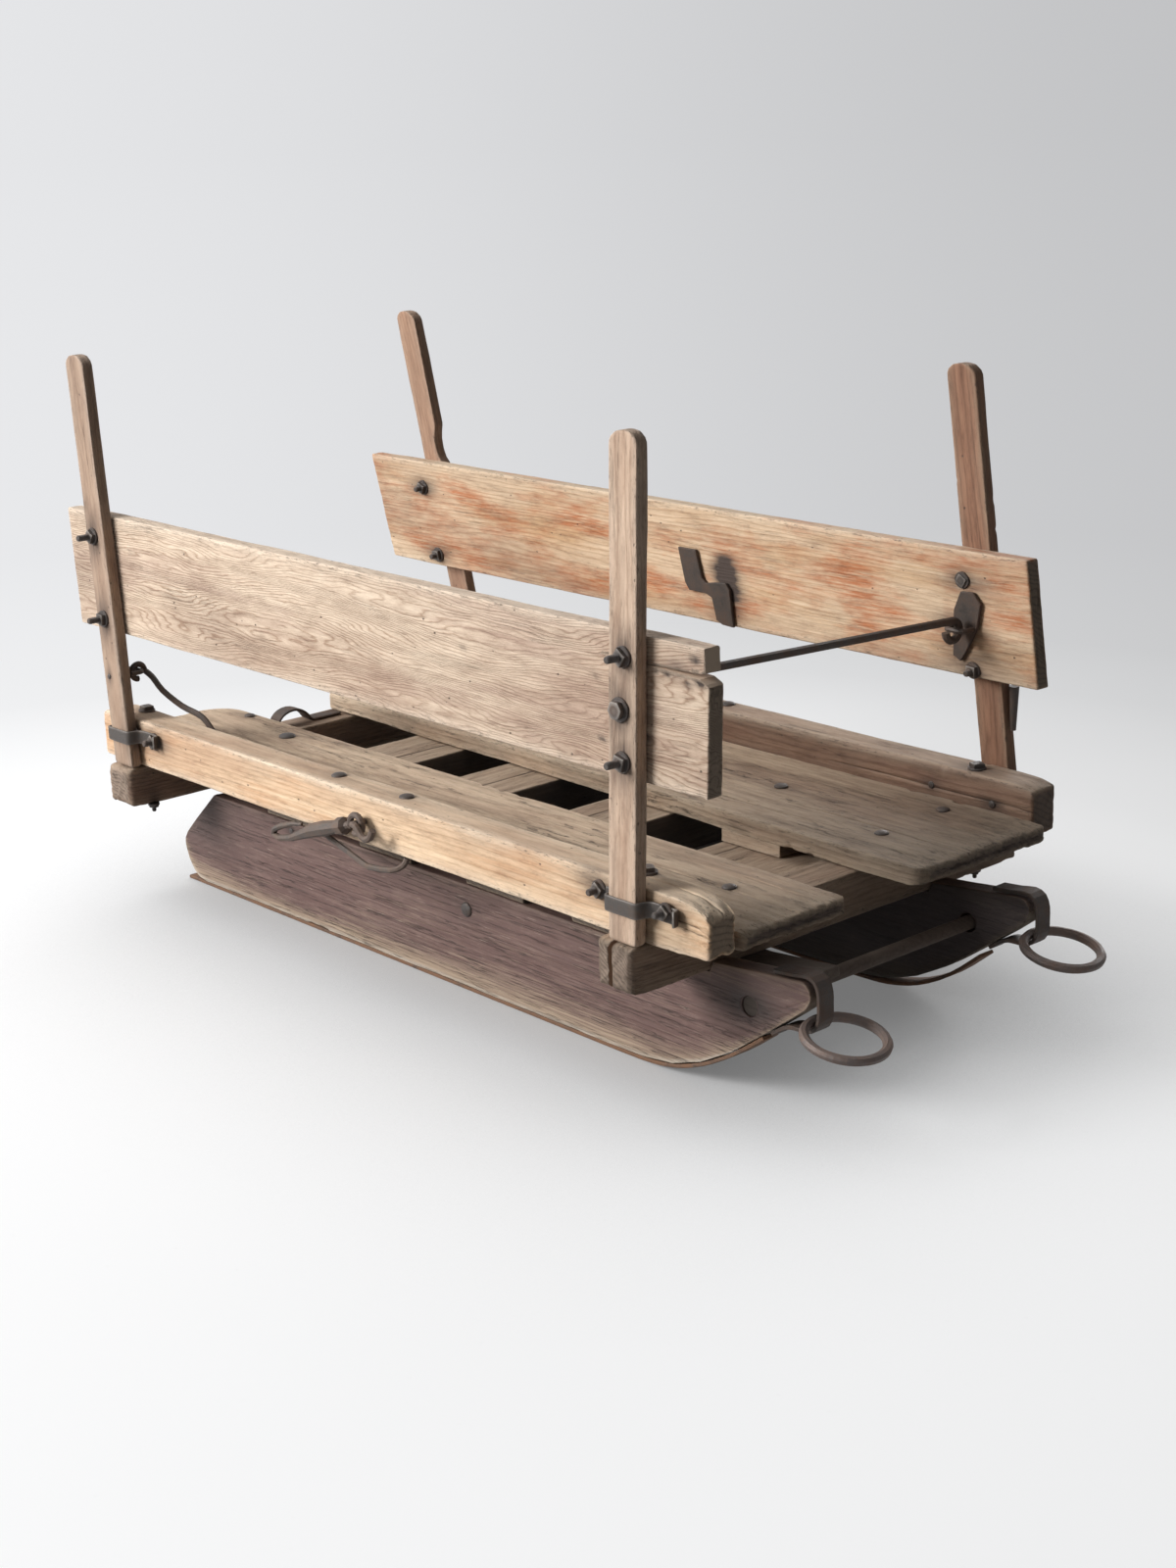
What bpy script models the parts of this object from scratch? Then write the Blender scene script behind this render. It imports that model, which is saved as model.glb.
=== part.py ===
# Wooden farm sled: two plank runners, cross bolsters, a plank bed between rails, staked sides.
import bpy
import bmesh
import math
from mathutils import Matrix, Vector

for old in list(bpy.data.objects):
    bpy.data.objects.remove(old)

# Clearances and edge rounding
GAP = 0.0003
HOLE_CLEAR = 0.0006
EDGE_SOFT = 0.0025
EDGE_WORN = 0.005
EDGE_IRON = 0.0008

# Middle of the outer box, measured from the rear end of the rails
FRAME_MID = 0.6536

# Bed: rails stand on two bolsters, planks lie between the rails
RAIL_LEN = 1.25
RAIL_LEFT_CUT = 0.021
RAIL_THICK = 0.050
RAIL_HIGH = 0.068
RAIL_END_ROUND = 0.055
RAIL_END_DROP = 0.020
RAIL_REAR_ROUND = 0.022
RAIL_REAR_DROP = 0.012
HALF_OVER_RAILS = 0.321
PLANK_THICK = 0.027
PLANK_FRONT_REACH = 0.006
PLANK_REAR_REACH = 0.012
PLANK_RIGHT_INNER = 0.098
PLANK_LEFT_INNER_FRONT = 0.028
PLANK_LEFT_INNER_REAR = 0.052
PLANK_LEFT_START = 0.045
PLANK_REAR_ROUND = 0.048
PLANK_CORNER_CUT = 0.012

# Bolsters and bearers
BED_HIGH = 0.208
BOLSTER_HIGH = 0.060
BOLSTER_WIDE = 0.062
BOLSTER_PROUD = 0.004
BOLSTER_FRONT_X = 1.091
BOLSTER_REAR_X = 0.043
SPLIT_DEEP = 0.055
SPLIT_WIDE = 0.0035
BEARER_STARTS = (0.264, 0.479, 0.707, 0.911)
BEARER_WIDTHS = (0.116, 0.114, 0.114, 0.150)
BEARER_DROPS = (0.0, 0.0, 0.0, 0.018)
PACKING_LEN = 0.104
PACKING_DEEP = 0.060
PACKING_SET_BACK = 0.012

# Runners
RUNNER_OUTER_RIGHT = 0.221
RUNNER_OUTER_LEFT = 0.195
RUNNER_THICK = 0.029
NOTCH_CLEAR = 0.0008
NOTCH_WALL = 0.013
SHOE_THICK = 0.005
RUNNER_TOP = ((1.240, 0.1695), (1.298, 0.1740), (1.307, 0.1700), (1.311, 0.1580))
RUNNER_BELOW = ((1.306, 0.1435), (1.280, 0.1235), (1.234, 0.0900), (1.185, 0.0555), (1.134, 0.0280),
                (1.085, 0.0115), (1.040, 0.0060), (0.990, 0.0050), (0.090, 0.0050), (0.072, 0.0080))
RUNNER_HEEL = ((0.060, 0.0160), (0.045, 0.0360), (0.040, 0.0600), (0.046, 0.0720), (0.075, 0.1000))
RUNNER_REAR_TOP = 0.128
SHOE_WIDE = 0.026
SHOE_TIP_X = 0.043
SHOE_STANDOFF = 0.009
SHOE_STAND_SHARES = (0.0, 0.0, 0.3, 0.8, 1.0, 0.6)

# Nose irons and draw rings
NOSE_IRON_THICK = 0.005
NOSE_IRON_WIDE = 0.024
NOSE_IRON_LINE = ((1.246, 0.0982), (1.262, 0.1094), (1.275, 0.1150), (1.288, 0.1162), (1.302, 0.1172),
                  (1.312, 0.1225), (1.3170, 0.1330), (1.3175, 0.1480), (1.3170, 0.1620), (1.3120, 0.1735),
                  (1.300, 0.1775), (1.280, 0.1745), (1.252, 0.1720))
RING_MID_R = 0.047
RING_STOCK_R = 0.006
RING_DROOP = 0.0090
RING_REAR_X = 1.3045
RING_REAR_Z = 0.1265

# Front cross rod and the brace that runs back to the bolster
NOSE_TIP_X = 1.311
ROD_BACK = 0.095
ROD_X = NOSE_TIP_X - ROD_BACK
ROD_Z = 0.122
ROD_R = 0.009
ROD_HEAD_R = 0.012
ROD_HEAD_LEN = 0.010
BRACE_INNER = 0.122
BRACE_WIDE = 0.042
BRACE_THICK = 0.013
BRACE_REAR_X = 1.010
BRACE_BEND_X = 1.158
BRACE_FRONT_X = 1.288
BRACE_RISE = 0.024
BRACE_SWING = 0.026

# Stakes and side boards; shares are run per rise
STAKE_WIDE = 0.046
STAKE_THICK = 0.018
STAKE_HIGH = 0.579
STAKE_LEFT_MORE = 0.008
STAKE_GAP = 0.0008
STAKE_FOOT_ROUND = 0.006
STAKE_RIGHT_FRONT_X = 1.111
STAKE_RIGHT_REAR_X = 0.063
STAKE_LEFT_FRONT_X = 1.107
STAKE_LEFT_REAR_X = 0.043
CROWN_HIGH = 0.014
CROWN_SHARES = ((1.0, 0.0), (0.93, 0.50), (0.76, 0.86), (0.5, 1.0), (0.24, 0.86), (0.07, 0.50), (0.0, 0.0))
NOTCH_LOW = 0.352
NOTCH_TOP = 0.412
NOTCH_SHARES = ((1.0, 0.0), (0.86, 0.10), (0.78, 0.35), (0.80, 0.62), (0.90, 0.84), (1.0, 1.0))
LEAN_RIGHT_SHARE = 0.019
LEAN_LEFT_SHARE = 0.1233
BACK_RIGHT_FRONT_SHARE = 0.0145
BACK_RIGHT_REAR_SHARE = -0.1085
BACK_LEFT_FRONT_SHARE = -0.030
BACK_LEFT_REAR_SHARE = -0.0912
BOARD_THICK = 0.024
BOARD_LOW = 0.189
BOARD_TOP = 0.356
BOARD_RIGHT_FRONT_X = 1.250
BOARD_RIGHT_REAR_X = -0.014
BOARD_LEFT_FRONT_X = 1.2312
BOARD_LEFT_REAR_X = -0.0507
BOARD_RIGHT_FRONT_SHARE = 0.0145
BOARD_RIGHT_REAR_SHARE = -0.1085
BOARD_LEFT_FRONT_SHARE = -0.036
BOARD_LEFT_REAR_SHARE = -0.1265
BOARD_CORNER = 0.010
BOARD_SPLIT_LEN = 0.165
BOARD_SPLIT_SHARES = ((0.0, 0.735), (-0.02, 0.775), (-0.07, 0.790), (-0.62, 0.807), (-1.0, 0.822),
                      (-0.60, 0.818), (-0.09, 0.828), (-0.035, 0.850), (-0.03, 0.960), (-0.06, 1.0))

# Iron straps that hold the stakes to the rails
STRAP_THICK = 0.0035
STRAP_WIDE = 0.019
STRAP_FLARE = 0.014
STRAP_Z = 0.046
STRAP_FOOT_REAR = 0.036
STRAP_FOOT_FRONT = 0.048
STRAP_LUG = 0.013

# Tie rods and their eyes
TIE_R = 0.0054
TIE_EYE_R = 0.0125
HANG_R = 0.0044
HANG_EYE_R = 0.0105
EYE_STOCK_R = 0.0035
EYE_STAND = 0.020
EYE_HALF = 0.014
TIE_PLATE_THICK = 0.005
TIE_X = 1.118
TIE_LEFT_Z = 0.464
TIE_RIGHT_Z = 0.499
TIE_DROP = 0.034
STAPLE_HALF = 0.012
STAPLE_REACH = 0.030
PEG_REACH = 0.015
REAR_EYE_X = 0.079
REAR_EYE_Z = 0.342
# Hanging rear rod: along the sled from its eye, in from the rail's inner face, above the plank
HANG_LINE = ((0.019, -0.018, 0.0970), (0.027, -0.008, 0.0770), (0.052, 0.0060, 0.0560), (0.084, 0.0120, 0.0480),
             (0.100, 0.0145, 0.0400), (0.116, 0.0160, 0.0250), (0.136, 0.0165, 0.0100), (0.160, 0.0165, 0.0052),
             (0.205, 0.0165, 0.0047))

# Small irons on the left board, on the right rail, under it and on the rear bolster
PLATE_LINE = ((1.0960, 0.4240), (1.1075, 0.4180), (1.1180, 0.4320), (1.1380, 0.4660), (1.1460, 0.4980),
              (1.1350, 0.5120), (1.1150, 0.5110), (1.1020, 0.4850))
BRACKET_THICK = 0.005
Z_LINE = ((0.606, 0.502), (0.613, 0.452), (0.620, 0.441), (0.652, 0.441), (0.664, 0.436), (0.669, 0.404),
          (0.680, 0.399), (0.7015, 0.398), (0.7005, 0.452), (0.694, 0.461), (0.672, 0.459), (0.655, 0.456),
          (0.648, 0.462), (0.641, 0.502))
SNAP_OUT = 0.013
SNAP_STOCK_R = 0.0048
SNAP_LINE = ((0.512, 0.2130), (0.492, 0.2095), (0.466, 0.2010), (0.449, 0.1930), (0.446, 0.1855), (0.458, 0.1825),
             (0.486, 0.1890), (0.516, 0.2015), (0.534, 0.2095), (0.562, 0.2185), (0.592, 0.2275), (0.5955, 0.2285),
             (0.6085, 0.2325), (0.6120, 0.2335), (0.6185, 0.2355))
SNAP_RADIUS_SHARES = (0.45, 0.65, 0.85, 0.9, 0.9, 0.95, 1.05, 1.5, 2.0, 2.15, 1.8, 2.45, 2.45, 1.1, 0.95)
SNAP_EYE_X = 0.6325
SNAP_EYE_Z = 0.2390
SNAP_EYE_R = 0.0125
HOOK_R = 0.0046
HOOK_X = 0.6345
HOOK_Z = 0.2410
HOOK_LINE = ((0.0, 0.0175, 0.0), (0.003, 0.0222, 0.0015), (0.011, 0.0232, 0.0005), (0.0195, 0.0232, -0.0080),
             (0.029, 0.0232, -0.0125), (0.039, 0.0230, -0.0085), (0.0455, 0.0226, 0.0025))
BENT_R = 0.0040
BENT_LINE = ((0.708, -0.0080, -0.0022), (0.704, -0.0040, -0.0120), (0.690, 0.0040, -0.0190),
             (0.652, 0.0060, -0.0235), (0.636, 0.0050, -0.0235), (0.590, -0.0020, -0.0180),
             (0.545, -0.0070, -0.0110), (0.525, -0.0080, -0.0037))
KEEPER_LINE = ((-0.070, 0.0), (-0.064, 0.0120), (-0.054, 0.0190), (-0.040, 0.0215), (-0.026, 0.0180),
               (-0.016, 0.0100), (-0.006, 0.0), (0.020, 0.0), (0.046, 0.0))
KEEPER_SET_IN = 0.018
KEEPER_WIDE = 0.024
PIN_TOP = 0.384
PIN_LOW = 0.326
PIN_R = 0.0068

# Heights and faces that follow from the sizes above
UNDER_BED = BED_HIGH - BOLSTER_HIGH
RAIL_TOP = BED_HIGH + GAP + RAIL_HIGH
RAIL_INNER = HALF_OVER_RAILS - RAIL_THICK
DECK_LOW = BED_HIGH + GAP
DECK_TOP = DECK_LOW + PLANK_THICK
BOLSTER_HALF = HALF_OVER_RAILS + STAKE_GAP + STAKE_THICK + BOLSTER_PROUD
RING_TILT = math.asin(RING_DROOP / RING_MID_R)

SLED = bpy.data.collections.new("wooden_sled")
bpy.context.scene.collection.children.link(SLED)
CUTTERS = bpy.data.collections.new("cutters")
bpy.context.scene.collection.children.link(CUTTERS)

WOOD_TINTS = {
    "runner": (0.13, 0.09, 0.085, 1.0),
    "grey": (0.42, 0.37, 0.32, 1.0),
    "deck": (0.50, 0.44, 0.37, 1.0),
    "rail": (0.45, 0.31, 0.20, 1.0),
    "board": (0.58, 0.48, 0.36, 1.0),
    "iron": (0.16, 0.11, 0.09, 1.0),
}


def finish(obj, tint, bevel=0.0, segments=2):
    # Own plain material and rounded edges for one piece
    mat = bpy.data.materials.new(obj.name)
    mat.use_nodes = True
    shader = mat.node_tree.nodes["Principled BSDF"]
    shader.inputs["Base Color"].default_value = WOOD_TINTS[tint]
    shader.inputs["Roughness"].default_value = 0.75
    shader.inputs["Metallic"].default_value = 0.6 if tint == "iron" else 0.0
    mat.diffuse_color = WOOD_TINTS[tint]
    obj.data.materials.clear()
    obj.data.materials.append(mat)
    if bevel > 0:
        mod = obj.modifiers.new("edges", "BEVEL")
        mod.width = bevel
        mod.segments = segments
        mod.limit_method = "ANGLE"
        mod.angle_limit = math.radians(35)
    return obj


def mesh_object(name, bm, where=None):
    # Faces out, into the sled's collection
    bmesh.ops.recalc_face_normals(bm, faces=bm.faces)
    data = bpy.data.meshes.new(name)
    bm.to_mesh(data)
    bm.free()
    obj = bpy.data.objects.new(name, data)
    (where or SLED).objects.link(obj)
    data.set_sharp_from_angle(angle=math.radians(40))
    return obj


def along(x):
    # Distance from the rear end of the rails to the sled's own frame
    return x - FRAME_MID


def box(name, x0, x1, y0, y1, z0, z1):
    bm = bmesh.new()
    size = Matrix.Diagonal((x1 - x0, y1 - y0, z1 - z0, 1.0))
    place = Matrix.Translation(((x0 + x1) / 2, (y0 + y1) / 2, (z0 + z1) / 2))
    bmesh.ops.create_cube(bm, size=1.0, matrix=place @ size)
    return mesh_object(name, bm)


def carried(name, corners, step, lean=0.0, lean_from=0.0):
    # Flat outline carried along a step; lean moves it in y as it rises
    bm = bmesh.new()
    face = bm.faces.new([bm.verts.new(corner) for corner in corners])
    grown = bmesh.ops.extrude_face_region(bm, geom=[face])
    moved = [g for g in grown["geom"] if isinstance(g, bmesh.types.BMVert)]
    bmesh.ops.translate(bm, verts=moved, vec=step)
    for vert in bm.verts:
        vert.co.y += lean * (vert.co.z - lean_from)
    return mesh_object(name, bm)


def slab(name, outline, y0, y1, lean=0.0, lean_from=0.0):
    # Outline in x and z carried across y
    return carried(name, [(x, y0, z) for x, z in outline], (0.0, y1 - y0, 0.0), lean, lean_from)


def plate(name, outline, z0, z1):
    # Outline in x and y carried up z
    return carried(name, [(x, y, z0) for x, y in outline], (0.0, 0.0, z1 - z0))


def rib(name, outline, x0, x1):
    # Outline in y and z carried along x
    return carried(name, [(x0, y, z) for y, z in outline], (x1 - x0, 0.0, 0.0))


def strip(points, thick):
    # Closed outline of a flat bar: the points are one face, the other lies to their right
    count = len(points)
    outer = []
    for i in range(count):
        a = Vector(points[max(i - 1, 0)])
        b = Vector(points[min(i + 1, count - 1)])
        run = (b - a).normalized()
        side = Vector((run.y, -run.x))
        before = (Vector(points[i]) - a).normalized() if i > 0 else run
        lift = max(0.6, before.dot(run))
        outer.append(tuple(Vector(points[i]) + side * (thick / lift)))
    return list(points) + outer[::-1]


def smooth_path(points, steps):
    # Extra points on a smooth curve through the given ones
    out = []
    n = len(points)
    for i in range(n - 1):
        p0 = Vector(points[max(i - 1, 0)])
        p1 = Vector(points[i])
        p2 = Vector(points[i + 1])
        p3 = Vector(points[min(i + 2, n - 1)])
        for s in range(steps):
            t = s / steps
            q = 0.5 * ((2 * p1) + (p2 - p0) * t + (2 * p0 - 5 * p1 + 4 * p2 - p3) * t * t
                       + (3 * p1 - p0 - 3 * p2 + p3) * t * t * t)
            out.append(tuple(q))
    out.append(tuple(points[-1]))
    return out


def rod(name, points, radius, closed=False, origin=None, swell=None):
    # Round bar along a path, as a bevelled curve turned to a mesh; swell gives each point its share
    curve = bpy.data.curves.new(name + "_path", "CURVE")
    curve.dimensions = "3D"
    curve.bevel_depth = radius
    curve.bevel_resolution = 2
    curve.use_fill_caps = not closed
    line = curve.splines.new("POLY")
    line.points.add(len(points) - 1)
    base = Vector(origin) if origin else Vector((0.0, 0.0, 0.0))
    for i, where in enumerate(points):
        here = Vector(where) - base
        line.points[i].co = (here.x, here.y, here.z, 1.0)
        line.points[i].radius = swell[i] if swell else 1.0
    line.use_cyclic_u = closed
    temp = bpy.data.objects.new(name + "_curve", curve)
    SLED.objects.link(temp)
    bpy.context.view_layer.update()
    data = bpy.data.meshes.new_from_object(temp)
    data.name = name
    bm = bmesh.new()
    bm.from_mesh(data)
    bmesh.ops.remove_doubles(bm, verts=bm.verts, dist=0.00002)
    bmesh.ops.recalc_face_normals(bm, faces=bm.faces)
    bm.to_mesh(data)
    bm.free()
    bpy.data.objects.remove(temp)
    bpy.data.curves.remove(curve)
    obj = bpy.data.objects.new(name, data)
    obj.location = base
    SLED.objects.link(obj)
    data.set_sharp_from_angle(angle=math.radians(40))
    return finish(obj, "iron")


def cut_round(target, x, z, radius, y0, y1):
    # Round hole through a piece from side to side
    bm = bmesh.new()
    turn = Matrix.Rotation(math.radians(90), 4, "X")
    place = Matrix.Translation((x, (y0 + y1) / 2, z))
    bmesh.ops.create_cone(bm, cap_ends=True, segments=24, radius1=radius, radius2=radius,
                          depth=y1 - y0, matrix=place @ turn)
    tool = mesh_object(target.name + "_hole", bm, CUTTERS)
    tool.hide_render = True
    tool.display_type = "WIRE"
    mod = target.modifiers.new("hole", "BOOLEAN")
    mod.operation = "DIFFERENCE"
    mod.solver = "EXACT"
    mod.object = tool


def side_sign(side):
    return -1.0 if side == "right" else 1.0


def spread(side, a, b):
    # Two distances from the centre line as ordered y values on one side
    s = side_sign(side)
    return sorted((s * a, s * b))


def lean_share(side):
    return LEAN_RIGHT_SHARE if side == "right" else LEAN_LEFT_SHARE


def stake_inner(side, z):
    # y of the stake's inner face at a height; it touches the rail's top outer edge
    return side_sign(side) * (HALF_OVER_RAILS + STAKE_GAP - lean_share(side) * (z - RAIL_TOP))


def board_inner(side, z):
    return stake_inner(side, z) - side_sign(side) * (BOARD_THICK + GAP)


def runner_outer(side):
    # The left runner stands a little nearer the middle than the right one
    return RUNNER_OUTER_RIGHT if side == "right" else RUNNER_OUTER_LEFT


# Runners: planks on edge, straight below, swept up to the nose, notched under the front bolster
notch_x = BOLSTER_FRONT_X + BOLSTER_WIDE + NOTCH_CLEAR
runner_line = list(RUNNER_HEEL) + [(RUNNER_REAR_TOP, UNDER_BED), (notch_x, UNDER_BED),
                                   (notch_x, UNDER_BED + NOTCH_WALL)] + list(RUNNER_TOP) + list(RUNNER_BELOW)
runner_line = [(along(x), z) for x, z in runner_line]
for side in ("right", "left"):
    y0, y1 = spread(side, runner_outer(side), runner_outer(side) - RUNNER_THICK)
    runner = slab("runner_" + side, runner_line, y0, y1)
    cut_round(runner, along(ROD_X), ROD_Z, ROD_HEAD_R + HOLE_CLEAR, y0 - EDGE_WORN, y1 + EDGE_WORN)
    finish(runner, "runner", EDGE_SOFT)
    # Shoe: flat bar under the runner, tip past the heel, stood off the wood on the left
    mid = side_sign(side) * (runner_outer(side) - RUNNER_THICK / 2)
    stand = SHOE_STANDOFF if side == "left" else 0.0
    below = [point for point in RUNNER_BELOW if ROD_X + NOTCH_WALL * 2 > point[0] > SHOE_TIP_X * 3]
    bend = [(along(x), z - GAP - stand * share) for (x, z), share in zip(below[::-1], SHOE_STAND_SHARES)]
    line = [(along(SHOE_TIP_X), SHOE_THICK - GAP)] + smooth_path(bend, 3)
    shoe = slab("shoe_" + side, strip(line, SHOE_THICK - GAP), mid - SHOE_WIDE / 2, mid + SHOE_WIDE / 2)
    finish(shoe, "iron", EDGE_IRON, 1)
    # Nose iron: flat bar over the nose, hung below it as a keeper for the draw ring
    keep = smooth_path([(along(x), z) for x, z in NOSE_IRON_LINE], 2)
    iron = slab("nose_iron_" + side, strip(keep, NOSE_IRON_THICK),
                mid - NOSE_IRON_WIDE / 2, mid + NOSE_IRON_WIDE / 2)
    finish(iron, "iron", EDGE_IRON, 1)
    # Draw ring: closed ring, stands out nearly level, its rear arc in the keeper
    turns = 40
    loop = []
    for i in range(turns):
        a = 2 * math.pi * i / turns
        reach = RING_MID_R * (1 + math.cos(a))
        loop.append((along(RING_REAR_X) + reach * math.cos(RING_TILT), mid + RING_MID_R * math.sin(a),
                     RING_REAR_Z - reach * math.sin(RING_TILT)))
    rod("draw_ring_" + side, loop, RING_STOCK_R, closed=True)

# Bolsters lie across the runners; the front one's right end is split
x0 = along(BOLSTER_FRONT_X)
x1 = x0 + BOLSTER_WIDE
mid = x0 + BOLSTER_WIDE * 0.36
split = [(x0, -BOLSTER_HALF), (mid, -BOLSTER_HALF + SPLIT_WIDE), (mid + SPLIT_WIDE, -BOLSTER_HALF + SPLIT_DEEP),
         (mid + SPLIT_WIDE * 1.6, -BOLSTER_HALF), (x1, -BOLSTER_HALF), (x1, BOLSTER_HALF), (x0, BOLSTER_HALF)]
bolster = plate("bolster_front", split, UNDER_BED + GAP, BED_HIGH)
finish(bolster, "grey", EDGE_SOFT * 0.6)
bolster = box("bolster_rear", along(BOLSTER_REAR_X), along(BOLSTER_REAR_X + BOLSTER_WIDE),
              -BOLSTER_HALF, BOLSTER_HALF, UNDER_BED + GAP, BED_HIGH)
finish(bolster, "grey", EDGE_WORN * 1.5)

# Bearers lie on the runners between the bolsters, ends flush with the runner faces
for number, (x, wide, drop) in enumerate(zip(BEARER_STARTS, BEARER_WIDTHS, BEARER_DROPS), 1):
    bearer = box("bearer_%d" % number, along(x), along(x + wide), -RUNNER_OUTER_RIGHT, RUNNER_OUTER_LEFT,
                 UNDER_BED + GAP, BED_HIGH - drop)
    finish(bearer, "grey", EDGE_SOFT)
# Packing block between the low front bearer and the left plank
last = BEARER_STARTS[3]
inner = PLANK_LEFT_INNER_FRONT + PACKING_SET_BACK
packing = box("packing_block", along(last), along(last + PACKING_LEN), inner, inner + PACKING_DEEP,
              BED_HIGH - BEARER_DROPS[3] + GAP, BED_HIGH)
finish(packing, "grey", EDGE_SOFT * 0.6)

# Rails stand on the bolsters beside the planks; the right one's front end is worn down
for side in ("right", "left"):
    y0, y1 = spread(side, HALF_OVER_RAILS, RAIL_INNER)
    end = RAIL_LEN if side == "right" else RAIL_LEN - RAIL_LEFT_CUT
    drop = RAIL_END_DROP if side == "right" else RAIL_END_DROP * 0.3
    low = BED_HIGH + GAP
    worn = [(1.0, 0.0), (0.7, 0.10), (0.42, 0.30), (0.18, 0.62), (0.0, 1.0)]
    outline = [(along(0.0), low), (along(end), low)]
    outline += [(along(end - RAIL_END_ROUND * share), RAIL_TOP - drop * down) for share, down in worn[::-1]]
    outline += [(along(RAIL_REAR_ROUND * share), RAIL_TOP - RAIL_REAR_DROP * down) for share, down in worn]
    rail = slab("rail_" + side, outline, y0, y1)
    finish(rail, "rail", EDGE_WORN)

# Deck planks, the right one rounded at its rear inner corner, the left one worn at its front corner
corner = []
rear = along(0.0) - PLANK_REAR_REACH
for i in range(7):
    a = math.radians(90) * i / 6
    corner.append((rear + PLANK_REAR_ROUND * (1 - math.sin(a)),
                   -PLANK_RIGHT_INNER - PLANK_REAR_ROUND * (1 - math.cos(a))))
front = along(RAIL_LEN) + PLANK_FRONT_REACH
outline = [(rear, -RAIL_INNER + GAP), (front, -RAIL_INNER + GAP), (front, -PLANK_RIGHT_INNER)] + corner
plank = plate("deck_plank_right", outline, DECK_LOW, DECK_TOP)
finish(plank, "deck", EDGE_SOFT)
start = along(PLANK_LEFT_START)
outline = [(start, PLANK_LEFT_INNER_REAR), (front - PLANK_CORNER_CUT, PLANK_LEFT_INNER_FRONT),
           (front, PLANK_LEFT_INNER_FRONT + PLANK_CORNER_CUT), (front, RAIL_INNER - GAP),
           (start, RAIL_INNER - GAP)]
plank = plate("deck_plank_left", outline, DECK_LOW, DECK_TOP)
finish(plank, "deck", EDGE_WORN)

# Stakes with their straps
STAKES = (
    ("right_front", "right", STAKE_RIGHT_FRONT_X, BACK_RIGHT_FRONT_SHARE),
    ("right_rear", "right", STAKE_RIGHT_REAR_X, BACK_RIGHT_REAR_SHARE),
    ("left_front", "left", STAKE_LEFT_FRONT_X, BACK_LEFT_FRONT_SHARE),
    ("left_rear", "left", STAKE_LEFT_REAR_X, BACK_LEFT_REAR_SHARE),
)
for word, side, where, back in STAKES:
    s = side_sign(side)
    lean = lean_share(side)
    foot = along(where)
    top = BED_HIGH + STAKE_HIGH + (STAKE_LEFT_MORE if side == "left" else 0.0)

    def at(share, z):
        return (foot + STAKE_WIDE * share + back * (z - BED_HIGH), z)

    low = BED_HIGH + GAP
    line = [at(0.0, low + STAKE_FOOT_ROUND), at(0.04, low + STAKE_FOOT_ROUND * 0.3), at(0.14, low), at(0.86, low),
            at(0.96, low + STAKE_FOOT_ROUND * 0.3), at(1.0, low + STAKE_FOOT_ROUND)]
    if word == "left_rear":
        line += [at(share, BED_HIGH + NOTCH_LOW + (NOTCH_TOP - NOTCH_LOW) * up) for share, up in NOTCH_SHARES]
    line += [at(share, top - CROWN_HIGH * (1 - up)) for share, up in CROWN_SHARES]
    inner = s * (HALF_OVER_RAILS + STAKE_GAP)
    y0, y1 = sorted((inner, inner + s * STAKE_THICK))
    stake = slab("stake_" + word, line, y0, y1, -s * lean, RAIL_TOP)
    finish(stake, "grey", EDGE_SOFT)
    # Iron strap: round the stake's outer face, both feet flat on the rail, a lug at the front foot
    face = HALF_OVER_RAILS + GAP
    rise = RAIL_TOP - BED_HIGH - STRAP_Z + STRAP_WIDE
    out = HALF_OVER_RAILS + STAKE_GAP + STAKE_THICK + lean * rise + GAP
    spare = abs(back) * STRAP_WIDE / 2 + GAP
    rear_side = foot + back * STRAP_Z - spare
    fore_side = foot + back * STRAP_Z + STAKE_WIDE + spare
    tip = fore_side + STRAP_THICK + STRAP_FOOT_FRONT
    tail = rear_side - STRAP_THICK - STRAP_FOOT_REAR
    line = [(tail, face), (rear_side - STRAP_FLARE, face), (rear_side, out), (fore_side, out),
            (fore_side + STRAP_FLARE, face), (tip, face), (tip, face + STRAP_LUG)]
    ring = strip(line, -STRAP_THICK)
    strap = plate("strap_" + word, [(x, s * y) for x, y in ring], BED_HIGH + STRAP_Z - STRAP_WIDE / 2,
                  BED_HIGH + STRAP_Z + STRAP_WIDE / 2)
    finish(strap, "iron", EDGE_IRON, 1)

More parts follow.
